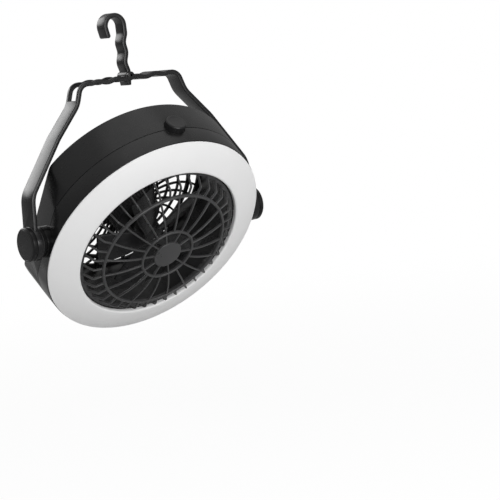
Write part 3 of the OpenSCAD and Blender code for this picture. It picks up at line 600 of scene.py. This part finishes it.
def buttonCutter():
    tool = rodMesh(drum["buttonHole"], *throughSkin("buttonCut"), 0, 64)
    return moved(tool, radialPlace(drum["buttonAngle"], drum["buttonDepth"]))


def screwPlaces(height):
    circle = drum["screwCircle"]
    angles = [radians(degrees) for degrees in drum["screwAngles"]]
    return [(circle * cos(angle), circle * sin(angle), height) for angle in angles]


def wellCutters():
    d = drum
    tools = []
    for place in screwPlaces(d["wellDepth"] - d["rearDepth"]):
        well = turned([(0, -d["wellCut"], 0), (d["wellRadius"], -d["wellCut"], 0),
                       (d["wellRadius"], 0, 0.3), (0, 0, 0)], 40)
        tools.append(moved(well, Matrix.Translation(place)))
    return tools


def socketCutter():
    d = drum
    end = d["socketHeight"] / 2
    run = d["socketWidth"] / 2 - end
    outline = arcPoints(Vector((run, 0)), end, -90, 90, 12) + arcPoints(Vector((-run, 0)), end, 90, 270, 12)
    shape = bmesh.new()
    rings = [[shape.verts.new((x, y, height)) for x, y in outline] for height in throughSkin("socketCut")]
    return moved(skinned(shape, rings), radialPlace(d["socketAngle"], d["socketDepth"]))


front = joined(combined(frontShell(), [buttonCutter()]), bosses(True))
setPiece("frontShell", moved(front, drumPlace), "housing", "drum", ["front_housing"])
rear = combined(rearShell(), [buttonCutter(), socketCutter(), *wellCutters()])
rear = joined(rear, bosses(False))
setPiece("rearShell", moved(rear, drumPlace), "housing", "drum", ["rear_housing"])


# the light ring

ring = {
    "outerRadius": 90.0, "innerRadius": 66.9, "back": 15.65, "edge": 1.0, "rise": 8.4, "bow": 1.0,
    "thickness": 2.0, "lipBack": 21.25, "innerRound": 2.4, "faceSteps": 20, "underSteps": 12,
    "segments": 360,
}


def ringFace(share):
    # the face runs from the outer edge to the inner edge and bows out of the straight line between them
    r = ring
    start = Vector((r["outerRadius"], r["back"] + r["edge"]))
    end = Vector((r["innerRadius"], r["back"] + r["edge"] + r["rise"]))
    out = Vector((end - start).yx) * Vector((1, -1))
    return start.lerp(end, share) + out.normalized() * r["bow"] * 4 * share * (1 - share)


def lightRing():
    r = ring
    face = [(*ringFace(step / r["faceSteps"]), 0) for step in range(r["faceSteps"] - 2)]
    crest = ringFace(1)
    under = [(*(ringFace(step / r["underSteps"]) - Vector((0, r["thickness"]))), 0)
             for step in range(r["underSteps"] - 1, 2, -1)]
    corners = [(r["outerRadius"], r["back"], 0.15), *face, (crest.x, crest.y, r["innerRound"]),
               (r["innerRadius"], r["lipBack"], 0.2),
               (r["innerRadius"] + r["thickness"], r["lipBack"], 0.2), *under,
               (r["outerRadius"] - r["thickness"], r["back"], 0.15)]
    return lathe(roundedOutline(corners, steps=7), r["segments"])


setPiece("lightRing", moved(lightRing(), drumPlace), "ring", "drum", ["diffuser"])


# the front cage

cage = {
    "ribs": 40, "ribWidth": 1.3, "ribDepth": 1.8, "ribCorner": 0.45, "outerRing": 51.3, "innerRing": 21.4,
    "disc": 11.5, "discFront": 37.8, "discThickness": 2.0, "outerRingZ": 31.4, "innerRingZ": 36.4,
    "rimRadius": 65.95, "rimWidth": 3.1, "rimBack": 19.25, "rimFront": 21.2, "footZ": 20.2,
    "kneeRadius": 59.0, "kneeZ": 29.8, "kneeRound": 2.1, "ringProud": 0.6, "footIn": 0.3, "ribStep": 2.2,
    "ribInDisc": 2.0, "outerRingSize": (2.2, 3.0), "innerRingSize": (2.0, 2.6), "innerRingLift": 0.5,
    "segments": 180,
}


def domeHeight(radius):
    c = cage
    low = c["outerRingZ"] - c["ringProud"]
    share = (radius - c["innerRing"]) / (c["outerRing"] - c["innerRing"])
    return low + (c["innerRingZ"] - low) * (1 - share ** 2)


def ribPath(inner):
    c = cage
    foot = c["rimRadius"] - c["rimWidth"] / 2 - c["footIn"]
    path = roundedOutline([(foot, c["footZ"], 0), (c["kneeRadius"], c["kneeZ"], c["kneeRound"]),
                           (c["outerRing"], domeHeight(c["outerRing"]), 0)], closed=False, steps=6)
    steps = round((c["outerRing"] - inner) / c["ribStep"])
    for step in range(1, steps + 1):
        radius = c["outerRing"] + (inner - c["outerRing"]) * step / steps
        path.append(Vector((radius, domeHeight(max(radius, c["innerRing"])))))
    return path


def cageRing(radius, height, width, depth):
    top = width * 0.48  # a little short of a half round
    inner, outer = radius - width / 2, radius + width / 2
    low, high = height - depth / 2, height + width / 2
    outline = roundedOutline([(inner, low, 0.3), (outer, low, 0.3),
                              (outer, high, top), (inner, high, top)], steps=4)
    return lathe(outline, cage["segments"])


def frontCage():
    c = cage
    step = 360 / c["ribs"]
    parts = []
    # every fourth rib reaches the disc, every fourth the small ring and the rest only the large ring
    toDisc = c["disc"] - c["ribInDisc"]
    for inner, share, first in ((toDisc, 4, 0), (c["innerRing"], 4, 2), (c["outerRing"], 2, 1)):
        rib = sweepBar(ribPath(inner), c["ribWidth"], c["ribDepth"], c["ribCorner"])
        parts.append(grown(rib, roundTree, {
            "Count": c["ribs"] // share, "First angle": first * step, "Finish": finish["cage"]}))
    parts.append(cageRing(c["outerRing"], c["outerRingZ"], *c["outerRingSize"]))
    parts.append(cageRing(c["innerRing"], c["innerRingZ"] + c["innerRingLift"], *c["innerRingSize"]))
    rim = roundedOutline([
        (c["rimRadius"] - c["rimWidth"], c["rimBack"], 0.3), (c["rimRadius"], c["rimBack"], 0.2),
        (c["rimRadius"], c["rimFront"], 0.2), (c["rimRadius"] - c["rimWidth"], c["rimFront"], 0.4)])
    parts.append(lathe(rim, c["segments"]))
    back = c["discFront"] - c["discThickness"]
    parts.append(turned([
        (0, back, 0), (c["disc"], back, 0.3), (c["disc"], c["discFront"], 0.6), (0, c["discFront"], 0)]))
    return joined(*parts)


setPiece("frontCage", moved(frontCage(), drumPlace), "cage", "drum", ["front_grille"])


# the rear cage

backCage = {
    "bars": 36, "barWidth": 1.5, "barArc": 36.0, "thickness": 2.2, "back": -30.0, "plate": 20.5,
    "rimRadius": 66.95, "rimWidth": 3.2, "wideRing": 56.0, "wideWidth": 3.0,
    "ringGap": 9.2, "ringWidth": 1.4,
    "leadAngle": 262, "leadWidth": 6.0, "arcShare": 0.76, "arcEnds": (175, 5), "arcSteps": 90,
    "barInPlate": 0.6, "barInRim": 1.2, "barSunk": 0.4, "leadInto": 1.0, "rimDrop": 0.05,
    "plateLip": 3.0, "lipSlope": 1.0, "plateDish": 0.3, "segments": 180,
}


def flatRing(inner, outer, high):
    low, corner = backCage["back"], 0.35
    outline = roundedOutline([(inner, low, corner), (outer, low, corner),
                              (outer, high, corner), (inner, high, corner)], steps=3)
    return lathe(outline, backCage["segments"])


def curvedBar():
    b = backCage
    centre = Vector(((b["plate"] + drum["seatRadius"]) / 2, -b["barArc"] * b["arcShare"]))
    arc = arcPoints(centre, b["barArc"], *b["arcEnds"], b["arcSteps"])
    nearest, furthest = b["plate"] - b["barInPlate"], b["rimRadius"] - b["barInRim"]
    inside = [point for point in arc if nearest < point.length < furthest]
    path = [Vector((point.x, -point.y)) for point in inside]
    bar = sweepBar(path[::2], b["thickness"] - b["barSunk"], b["barWidth"], 0.35, steps=2)
    return moved(bar, Matrix.Translation((0, 0, b["back"] + b["thickness"] / 2)) @ quarterTurn("X"))


def rearCage():
    b = backCage
    front = b["back"] + b["thickness"]
    parts = [grown(curvedBar(), roundTree, {
        "Count": b["bars"], "First angle": 0.0, "Finish": finish["back"]})]
    parts.append(flatRing(b["rimRadius"] - b["rimWidth"], b["rimRadius"], front - b["rimDrop"]))
    half = b["wideWidth"] / 2
    parts.append(flatRing(b["wideRing"] - half, b["wideRing"] + half, front))
    for index in (1, 2, 3):
        radius = b["wideRing"] - index * b["ringGap"]
        parts.append(flatRing(radius - b["ringWidth"] / 2, radius + b["ringWidth"] / 2, front))
    middle, lip = b["back"] + b["plateDish"], b["plate"] - b["plateLip"]
    parts.append(turned([
        (0, middle, 0), (lip - b["lipSlope"], middle, 0.2), (lip, b["back"], 0.2),
        (b["plate"], b["back"], 0.4), (b["plate"], front, 0.2), (0, front, 0)]))
    bar = softened(boxMesh((b["plate"] - b["leadInto"], -b["leadWidth"] / 2, b["back"]),
                           (b["rimRadius"] - b["leadInto"], b["leadWidth"] / 2, front - b["barSunk"])), 0.3)
    parts.append(moved(bar, Matrix.Rotation(radians(b["leadAngle"]), 4, "Z")))
    return joined(*parts)


setPiece("rearCage", moved(rearCage(), drumPlace), "back", "drum", ["rear_grille"])


# the fan wheel

wheel = {
    "blades": 5, "tipRadius": 48.0, "hubRadius": 9.2, "hubBack": -5.0, "hubFront": 16.0, "thickness": 1.6,
    "pitch": 18.5, "camber": 58.0, "firstAngle": 42.6, "middle": 14.6, "root": 1.5, "fullness": 2.2,
    "hubStep": 1.0, "dishRadius": 2.8, "dishDepth": 0.5, "stations": 28, "around": 28,
    "rear": ((6.2, -6), (43.2, -12.3), (51, -12.3)),
    "front": ((6.2, 6), (24, 10.332), (43.2, 12.3), (51, 12.3)),
}


def along(points, where):
    for (x0, y0), (x1, y1) in zip(points, points[1:]):
        if where <= x1 or x1 == points[-1][0]:
            return y0 + (y1 - y0) * (where - x0) / (x1 - x0)


def bladeMesh():
    w = wheel
    pitch = radians(w["pitch"])
    around = w["around"]
    root = w["hubRadius"] - w["root"]
    shape = bmesh.new()
    rings = []
    for station in range(w["stations"] + 1):
        radius = root + (w["tipRadius"] - root) * station / w["stations"]
        low, high = along(w["rear"], radius), along(w["front"], radius)
        ring = []
        for index in range(around):
            angle = fullTurn * index / around
            chord = (low + high) / 2 + (high - low) / 2 * cos(angle)
            lift = math.copysign(min(1, w["fullness"] * abs(sin(angle))), sin(angle))
            crown = math.sqrt(w["camber"] ** 2 - chord ** 2) - w["camber"] + w["thickness"] / 2 * lift
            y = chord * cos(pitch) - crown * sin(pitch)
            z = chord * sin(pitch) + crown * cos(pitch) + w["middle"]
            ring.append(shape.verts.new((math.sqrt(max(radius ** 2 - y ** 2, 0)), y, z)))
        rings.append(ring)
    return skinned(shape, rings)


def fanWheel():
    w = wheel
    blades = grown(bladeMesh(), roundTree, {
        "Count": w["blades"], "First angle": w["firstAngle"], "Finish": finish["blade"]})
    shoulder, narrow = w["hubFront"] - w["hubStep"], w["hubRadius"] - w["hubStep"]
    dish, dishFace = w["dishRadius"], w["hubFront"] - w["dishDepth"]
    return joined(blades, turned([
        (0, w["hubBack"], 0), (w["hubRadius"], w["hubBack"], 0.3), (w["hubRadius"], shoulder, 0.4),
        (narrow, shoulder, 0.2), (narrow, w["hubFront"], 0.4),
        (dish + 0.4, w["hubFront"], 0.2), (dish, dishFace, 0.2), (0, dishFace, 0)]))


setPiece("fanWheel", moved(fanWheel(), drumPlace), "blade", "fan_wheel", ["impeller"],
         crease=50)


# the motor's cup

cup = {
    "radius": 18.4, "wall": 1.5, "back": -27.75, "front": -6.4, "hole": 3.25, "ribs": 40, "ribWidth": 1.0,
    "ribOut": 0.7, "ribSunk": 0.5, "ribFromBack": 3.0, "ribFromFront": 2.0, "step": 1.0,
}


def motorCup():
    c = cup
    shoulder, narrow = c["front"] - c["step"], c["radius"] - c["step"]
    inside, ceiling = c["radius"] - c["wall"], c["front"] - c["wall"]
    body = roundedOutline([
        (c["radius"], c["back"], 0.2), (c["radius"], shoulder, 0.3), (narrow, shoulder, 0.1),
        (narrow, c["front"], 0.5), (c["hole"], c["front"], 0.2), (c["hole"], ceiling, 0.2),
        (inside, ceiling, 0.3), (inside, c["back"], 0.2)])
    rib = softened(boxMesh(
        (c["radius"] - c["ribSunk"], -c["ribWidth"] / 2, c["back"] + c["ribFromBack"]),
        (c["radius"] + c["ribOut"], c["ribWidth"] / 2, c["front"] - c["ribFromFront"])), 0.3)
    ribs = grown(rib, roundTree, {"Count": c["ribs"], "First angle": 0.0, "Finish": finish["cup"]})
    return joined(lathe(body, 120), ribs)


setPiece("motorCup", moved(motorCup(), drumPlace), "cup", "drum", ["motor_cup"])


# screws

screw = {
    "headRadius": 2.8, "headHeight": 2.0, "dome": 0.5,
    "slotWidth": 0.8, "slotLength": 3.4, "slotDepth": 1.1, "sunk": 0.45, "seed": 7,
    "motorRadius": 2.6, "motorCircle": 11, "motorProud": 1.3,
}


def screwHead(radius):
    # drawn with its face towards -Z, the way the drum's screws look out of its back
    s = screw
    scale = radius / s["headRadius"]
    dome = [Vector((radius * sin(radians(angle)), s["dome"] * (1 - cos(radians(angle)))))
            for angle in (15, 30, 45, 60, 75, 90)]
    rim, back = Vector((radius, s["headHeight"])), Vector((0, s["headHeight"]))
    head = lathe([Vector((0, 0)), *dome, rim, back], 48, closed=False)
    length, width = s["slotLength"] / 2 * scale, s["slotWidth"] / 2 * scale
    slots = [boxMesh((-length, -width, -1), (length, width, s["slotDepth"])),
             boxMesh((-width, -length, -1), (width, length, s["slotDepth"]))]
    return combined(head, slots)


def screwsAt(places, radius):
    head = placed("screwHead", screwHead(radius))
    mesh = grown(pointsMesh(places), scatterTree, {
        "Copied piece": head, "Seed": screw["seed"], "Finish": finish["steel"]})
    bpy.data.objects.remove(head)
    return mesh


backFace = -drum["rearDepth"]
screws = screwsAt(screwPlaces(backFace + screw["sunk"]), screw["headRadius"])
setPiece("housingScrewHeads", moved(screws, drumPlace), "steel", "drum", ["housing_screws"])
places = [(0, side * screw["motorCircle"], backFace - screw["motorProud"]) for side in (-1, 1)]
screws = screwsAt(places, screw["motorRadius"])
setPiece("motorScrewHeads", moved(screws, drumPlace), "steel", "drum", ["motor_screws"])


# the button

button = {
    "radius": 8.0, "low": 86.0, "top": 95.7, "chamfer": 0.7, "ring": 5.4, "ringWidth": 0.5,
    "dish": 0.35, "dishEdge": 0.4, "dishShares": (0.75, 0.5, 0.25),
}


def pushButton():
    b = button
    crown = [(b["ring"] * share, b["top"] - b["dish"] * (1 - (1 - b["dishEdge"]) * share ** 2), 0)
             for share in b["dishShares"]]
    corners = [(0, b["low"], 0), (b["radius"], b["low"], 0.2), (b["radius"], b["top"] - b["chamfer"], 0.3),
               (b["radius"] - b["chamfer"], b["top"], 0.3), (b["ring"] + b["ringWidth"], b["top"], 0.2),
               (b["ring"], b["top"] - b["dish"] * b["dishEdge"], 0.1), *crown, (0, b["top"] - b["dish"], 0)]
    return turned(corners)


buttonPlace = drumPlace @ radialPlace(drum["buttonAngle"], drum["buttonDepth"])
setPiece("pushButton", moved(pushButton(), buttonPlace), "button", "button", ["push_button"])


# the side caps

cap = {
    "radius": 12.9, "inner": 99.4, "outer": 103.0, "chamfer": 0.8, "groove": 10.9, "grooveWidth": 0.5,
    "grooveDepth": 0.25, "dish": 0.15,
}


def sideCap():
    c = cap
    corners = [
        (0, c["inner"], 0), (c["radius"], c["inner"], 0.25), (c["radius"], c["outer"] - c["chamfer"], 0.25),
        (c["radius"] - c["chamfer"], c["outer"], 0.25),
        (c["groove"] + c["grooveWidth"], c["outer"], 0.1),
        (c["groove"] + c["grooveWidth"] / 2, c["outer"] - c["grooveDepth"], 0.1),
        (c["groove"], c["outer"], 0.1), (0, c["outer"] - c["dish"], 0)]
    return moved(turned(corners, 128), quarterTurn("Y"))


for sideName, quarters in (("Right", 0), ("Left", 2)):
    mesh = moved(sideCap(), drumPlace @ quarterTurn("Z", quarters))
    setPiece("sideCap" + sideName, mesh, "cap", "drum", ["side_cap_" + sideName.lower()])


# the handle

strap = {
    "width": 16.6, "thickness": 3.4, "corner": 0.55, "armLean": 3.6, "eyeInner": 94.1, "eyeOuter": 99.1,
    "eyeRadius": 13.0, "spigotHole": 4.05, "swingGap": 0.4, "sideAngle": 35.5, "upperAngle": 41.8,
    "upperStep": 1.7, "shoulderAngle": 18.4, "shoulderReach": 75.478, "barHeight": 110.6,
    "rounds": (20, 40, 20, 8), "roundSteps": 12, "barStart": 2, "barSteps": 120, "wave": 0.8, "waveFade": 4,
    "pitch": 16.8, "phase": 6.1, "slotWidth": 11.7, "slotLow": 99.3, "slotEnd": 10.0, "pinX": 1.4,
    "pinRise": 1.9, "bossRadius": 2.8, "holePast": 5,
}
pinHeight = strap["barHeight"] + strap["pinRise"]
rearReach = Vector((drum["rearRadius"] - drum["rearRound"], drum["rearDepth"] - drum["rearRound"])).length
sweptRadius = rearReach + drum["rearRound"]
alongX = quarterTurn("Y")
atPin = Matrix.Translation((strap["pinX"], 0, pinHeight)) @ quarterTurn("X")


def lineMeeting(first, second):
    angleA, reachA = radians(first[0]), first[1]
    angleB, reachB = radians(second[0]), second[1]
    spread = sin(angleB - angleA)
    return Vector(((reachA * sin(angleB) - reachB * sin(angleA)) / spread,
                   (reachB * cos(angleA) - reachA * cos(angleB)) / spread))


def roundBetween(first, second, radius, hollow=False):
    # each line is a normal's angle and a distance; a hollow bends the other way
    shift = radius if hollow else -radius
    centre = lineMeeting((first[0], first[1] + shift), (second[0], second[1] + shift))
    turn = 180 if hollow else 0
    return arcPoints(centre, radius, first[0] + turn, second[0] + turn, strap["roundSteps"])


def strapPath():
    s = strap
    lean = cos(radians(s["armLean"]))
    armReach = (s["eyeOuter"] - s["thickness"] / 2) * lean
    sideReach = sweptRadius + s["swingGap"] + s["thickness"] / 2
    lines = [(s["armLean"], armReach), (s["sideAngle"], sideReach),
             (s["upperAngle"], sideReach + s["upperStep"]),
             (s["shoulderAngle"], s["shoulderReach"]), (90, s["barHeight"])]
    arm = [Vector((armReach / lean, 0))]
    for index, radius in enumerate(s["rounds"]):
        arm += roundBetween(lines[index], lines[index + 1], radius, hollow=index == 2)
    end = arm[-1].x - s["barStart"]
    bar = []
    for step in range(s["barSteps"] + 1):
        x = end * (1 - 2 * step / s["barSteps"])
        fade = min(1, (end - abs(x)) / s["waveFade"])
        wave = s["wave"] * cos(fullTurn * (x - s["phase"]) / s["pitch"])
        bar.append(Vector((x, s["barHeight"] + fade * wave)))
    return arm + bar + [Vector((-point.x, point.y)) for point in reversed(arm)]


def eyeRods(radius, past, corner, segments):
    # one rod through each eye, on the pivots' axis
    return [moved(rodMesh(radius, strap["eyeInner"] - past, strap["eyeOuter"] + past, corner, segments),
                  quarterTurn("Z", quarters) @ alongX) for quarters in (0, 2)]


def handleMesh():
    s = strap
    bar = sweepBar(strapPath(), s["width"], s["thickness"], s["corner"], steps=3)
    boss = moved(rodMesh(s["bossRadius"], -s["width"] / 2, s["width"] / 2, 0.4, 48), atPin)
    whole = combined(bar, [*eyeRods(s["eyeRadius"], 0, 0.5, 96), boss], "UNION")
    beyond = 150  # past the strap at its open end and over the top
    slot = boxMesh((-beyond, -s["slotWidth"] / 2, s["slotLow"]), (s["slotEnd"], s["slotWidth"] / 2, beyond))
    holes = eyeRods(s["spigotHole"], s["holePast"], 0, 48)
    return softened(combined(whole, [slot, *holes]), 0.35, angle=55)


setPiece("handleStrap", moved(handleMesh(), hungPlace), "strap", "handle", ["handle"], crease=45)


# the hook and its pin

hook = {
    "width": 11.3, "thickness": 3.4, "corner": 0.5,
    "crownRadius": 6.35, "crownX": -5.4, "crownHeight": 150.5,
    "knuckle": 3.1, "wave": 0.8, "pitch": 15.2, "topBelowCrown": 5.3, "base": 0.5, "curl": 12, "tip": 5.2,
    "footTop": 2.5, "footEnd": 1.5, "footShift": 0.9, "footZ": 7.3, "pinRadius": 1.2, "pinGap": 0.07,
    "steps": 64, "leanStart": 28, "leanSteps": 36, "curlSteps": 40, "holePast": 2,
}


def hookPath():
    h = hook
    middle = h["crownRadius"] + h["thickness"] / 2
    top = h["crownHeight"] - h["topBelowCrown"]
    rise = h["crownX"] + middle - h["base"] - h["wave"]
    path = []
    for step in range(h["steps"] + 1):
        height = pinHeight + (top - pinHeight) * step / h["steps"]
        share = max(0, (step - h["leanStart"]) / h["leanSteps"])
        lean = rise * share * share * (3 - 2 * share)
        wave = h["wave"] * cos(fullTurn * (height - top) / h["pitch"])
        path.append(Vector((h["base"] + lean + wave, height)))
    end = 180 + h["curl"]
    path += arcPoints(Vector((h["crownX"], h["crownHeight"])), middle, 0, end, h["curlSteps"])
    turn = radians(end)
    path.append(path[-1] + h["tip"] * Vector((-sin(turn), cos(turn))))
    return path


def hookMesh():
    h = hook
    half = h["width"] / 2
    path = hookPath()
    bar = sweepBar(path, h["width"], h["thickness"], h["corner"], steps=3)
    knuckle = moved(rodMesh(h["knuckle"], -half, half, 0.4, 64), atPin)
    tip = moved(rodMesh(h["thickness"] / 2, -half, half, 0.4, 48),
                Matrix.Translation((path[-1].x, 0, path[-1].y)) @ quarterTurn("X"))
    foot = boxMesh((-h["footTop"], -half, -h["footZ"]), (h["footTop"], half, 0))
    for vert in foot.vertices:
        if vert.co.z < -h["footZ"] / 2:
            vert.co.x *= h["footEnd"] / h["footTop"]
    footPlace = Matrix.Translation((strap["pinX"] - h["footShift"], 0, pinHeight))
    foot = moved(softened(foot, 0.5, segments=3), footPlace)
    whole = combined(bar, [tip, knuckle, foot], "UNION")
    past = half + h["holePast"]
    hole = moved(rodMesh(h["pinRadius"] + h["pinGap"], -past, past, 0, 40), atPin)
    return softened(combined(whole, [hole]), 0.3, angle=60)


setPiece("hangingHook", moved(hookMesh(), hungPlace), "strap", "hook", ["hook"], crease=45)
pin = rodMesh(hook["pinRadius"], -strap["width"] / 2, strap["width"] / 2, 0.3, 48)
setPiece("hingePin", moved(pin, hungPlace @ atPin), "steel", "handle", ["hook_pin"])


# solids that keep their own shape

solidFinish = {
    "light_board": "white", "light_chips": "lamp", "motor_shaft": "steel", "motor": "motor",
    "motor_bearing": "brass", "pivot_stud_left": "cap", "pivot_stud_right": "cap", "pivot_washers": "steel",
    "friction_washers": "rubber", "pivot_screws": "steel",
    "switch_plunger": "white", "switch_body": "button",
    "control_board": "board", "battery_cells": "cell", "battery_tabs": "steel", "charge_board": "board",
    "charge_socket": "steel", "motor_leads": "blackLead", "power_leads": "blackLead",
}
for nodeName, finishName in solidFinish.items():
    solid = frame["nodes"][nodeName]
    solid.data.materials.clear()
    solid.data.materials.append(finish[finishName])
print("solids dressed:", len(solidFinish))


# studio and camera

studio = {
    "floorDrop": 0.05, "floorSize": 6.0, "floorTones": (0.48, 0.52), "floorGlow": 0.95, "shadowReach": 0.15,
    "shadowEnd": 0.8, "skySpan": (0.15, 0.9), "skyLevels": (0.25, 0.66),
    "lamps": (
        ("overhead", (0.1, -0.2, 1.3), (1.2, 0.9), 2.2),
        ("front", (-0.2, -2.2, 0.3), (2.2, 0.9), 32.0),
        ("backLeft", (-0.34, 1.26, 0.68), (0.9, 0.65), 6.4),
    ),
}
photo = {"width": 500, "height": 500, "azimuth": -31.09, "elevation": 5.37, "roll": 7.37, "distance": 1.85,
         "pivotX": 143.3, "pivotY": 223.3, "pixelsPerMm": 1.318, "sensorWidth": 36}


def lookingRays(tree):
    # rays that show the surroundings as they are seen, straight from the camera or through a clear piece
    rays = addNode(tree, "ShaderNodeLightPath")
    return calculated(tree, "MAXIMUM", rays.outputs["Is Camera Ray"], rays.outputs["Is Transmission Ray"])


def makeFloor():
    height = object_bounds()[0].z - studio["floorDrop"]
    half = studio["floorSize"] / 2
    floorMesh = bpy.data.meshes.new("floor")
    floorMesh.from_pydata(
        [(-half, -half, height), (half, -half, height), (half, half, height), (-half, half, height)], [],
        [(0, 1, 2, 3)])
    material, tree, shader = newMaterial("paleFloor")
    place = objectPlace(tree)
    speck = noise(tree, place, 40.0)
    tones = [(tone, tone, tone) for tone in studio["floorTones"]]
    setInputs(tree, shader, {"Base Color": mixColour(tree, speck, *tones), "Roughness": 0.8})
    # looked at, the floor is nearly even white, with some of the shadow left in near the object
    glow = addNode(tree, "ShaderNodeEmission", {"Color": (1, 1, 1, 1), "Strength": 1.0})
    away = addNode(tree, "ShaderNodeVectorMath", {0: place}, operation="LENGTH")
    glowing = remapped(tree, away.outputs["Value"], (studio["shadowReach"], studio["shadowEnd"]),
                       (studio["floorGlow"], 1.0), "SMOOTHSTEP")
    share = calculated(tree, "MULTIPLY", lookingRays(tree), glowing)
    seen = addNode(tree, "ShaderNodeMixShader", {0: share, 1: shader, 2: glow})
    setInputs(tree, tree.nodes["Material Output"], {"Surface": seen})
    floorMesh.materials.append(material)
    floor = placed("floor", floorMesh)


def makeLamps():
    for name, place, size, power in studio["lamps"]:
        data = bpy.data.lights.new(name, "AREA")
        data.shape = "RECTANGLE"
        data.size, data.size_y = size
        data.energy = power
        lamp = placed(name, data)
        lamp.location = pivotPoint + Vector(place)
        lamp.rotation_euler = (-Vector(place)).to_track_quat("-Z", "Y").to_euler()


def makeSky():
    world = bpy.data.worlds.new("studio")
    world.use_nodes = True
    bpy.context.scene.world = world
    tree = world.node_tree
    sky = tree.nodes["Background"]
    white = (1, 1, 1, 1)
    # a room that is dim low down and brighter overhead; looked at, it is plain white
    direction = addNode(tree, "ShaderNodeTexCoord")
    height = addNode(tree, "ShaderNodeSeparateXYZ", {0: direction.outputs["Generated"]})
    level = remapped(tree, height.outputs["Z"], studio["skySpan"], studio["skyLevels"])
    setInputs(tree, sky, {"Strength": level, "Color": white})
    plainWhite = addNode(tree, "ShaderNodeBackground", {"Color": white})
    mix = addNode(tree, "ShaderNodeMixShader", {0: lookingRays(tree), 1: sky, 2: plainWhite})
    setInputs(tree, tree.nodes["World Output"], {"Surface": mix})


def makeCamera():
    p = photo
    turn, lift, roll = (radians(p[key]) for key in ("azimuth", "elevation", "roll"))
    back = Vector((sin(turn) * cos(lift), -cos(turn) * cos(lift), sin(lift)))
    across = Vector((cos(turn), sin(turn), 0))
    upward = back.cross(across)
    across, upward = (across * cos(roll) - upward * sin(roll),
                      upward * cos(roll) + across * sin(roll))
    pixels = p["pixelsPerMm"] * p["distance"] / mm
    seen = Vector(((p["pivotX"] - p["width"] / 2) / pixels, (p["height"] / 2 - p["pivotY"]) / pixels, -1))
    aim = seen.normalized().rotation_difference(Vector((0, 0, -1)))
    axes = Matrix((across, upward, back)).transposed() @ aim.to_matrix()
    data = bpy.data.cameras.new("photoCamera")
    data.sensor_width = p["sensorWidth"]
    data.lens = pixels / p["width"] * data.sensor_width
    camera = placed("photoCamera", data)
    camera.matrix_world = Matrix.Translation(pivotPoint + back * p["distance"]) @ axes.to_4x4()
    bpy.context.scene.camera = camera


makeFloor()
makeLamps()
makeSky()
makeCamera()
bpy.context.scene.view_settings.view_transform = "Standard"
print("studio and camera made")
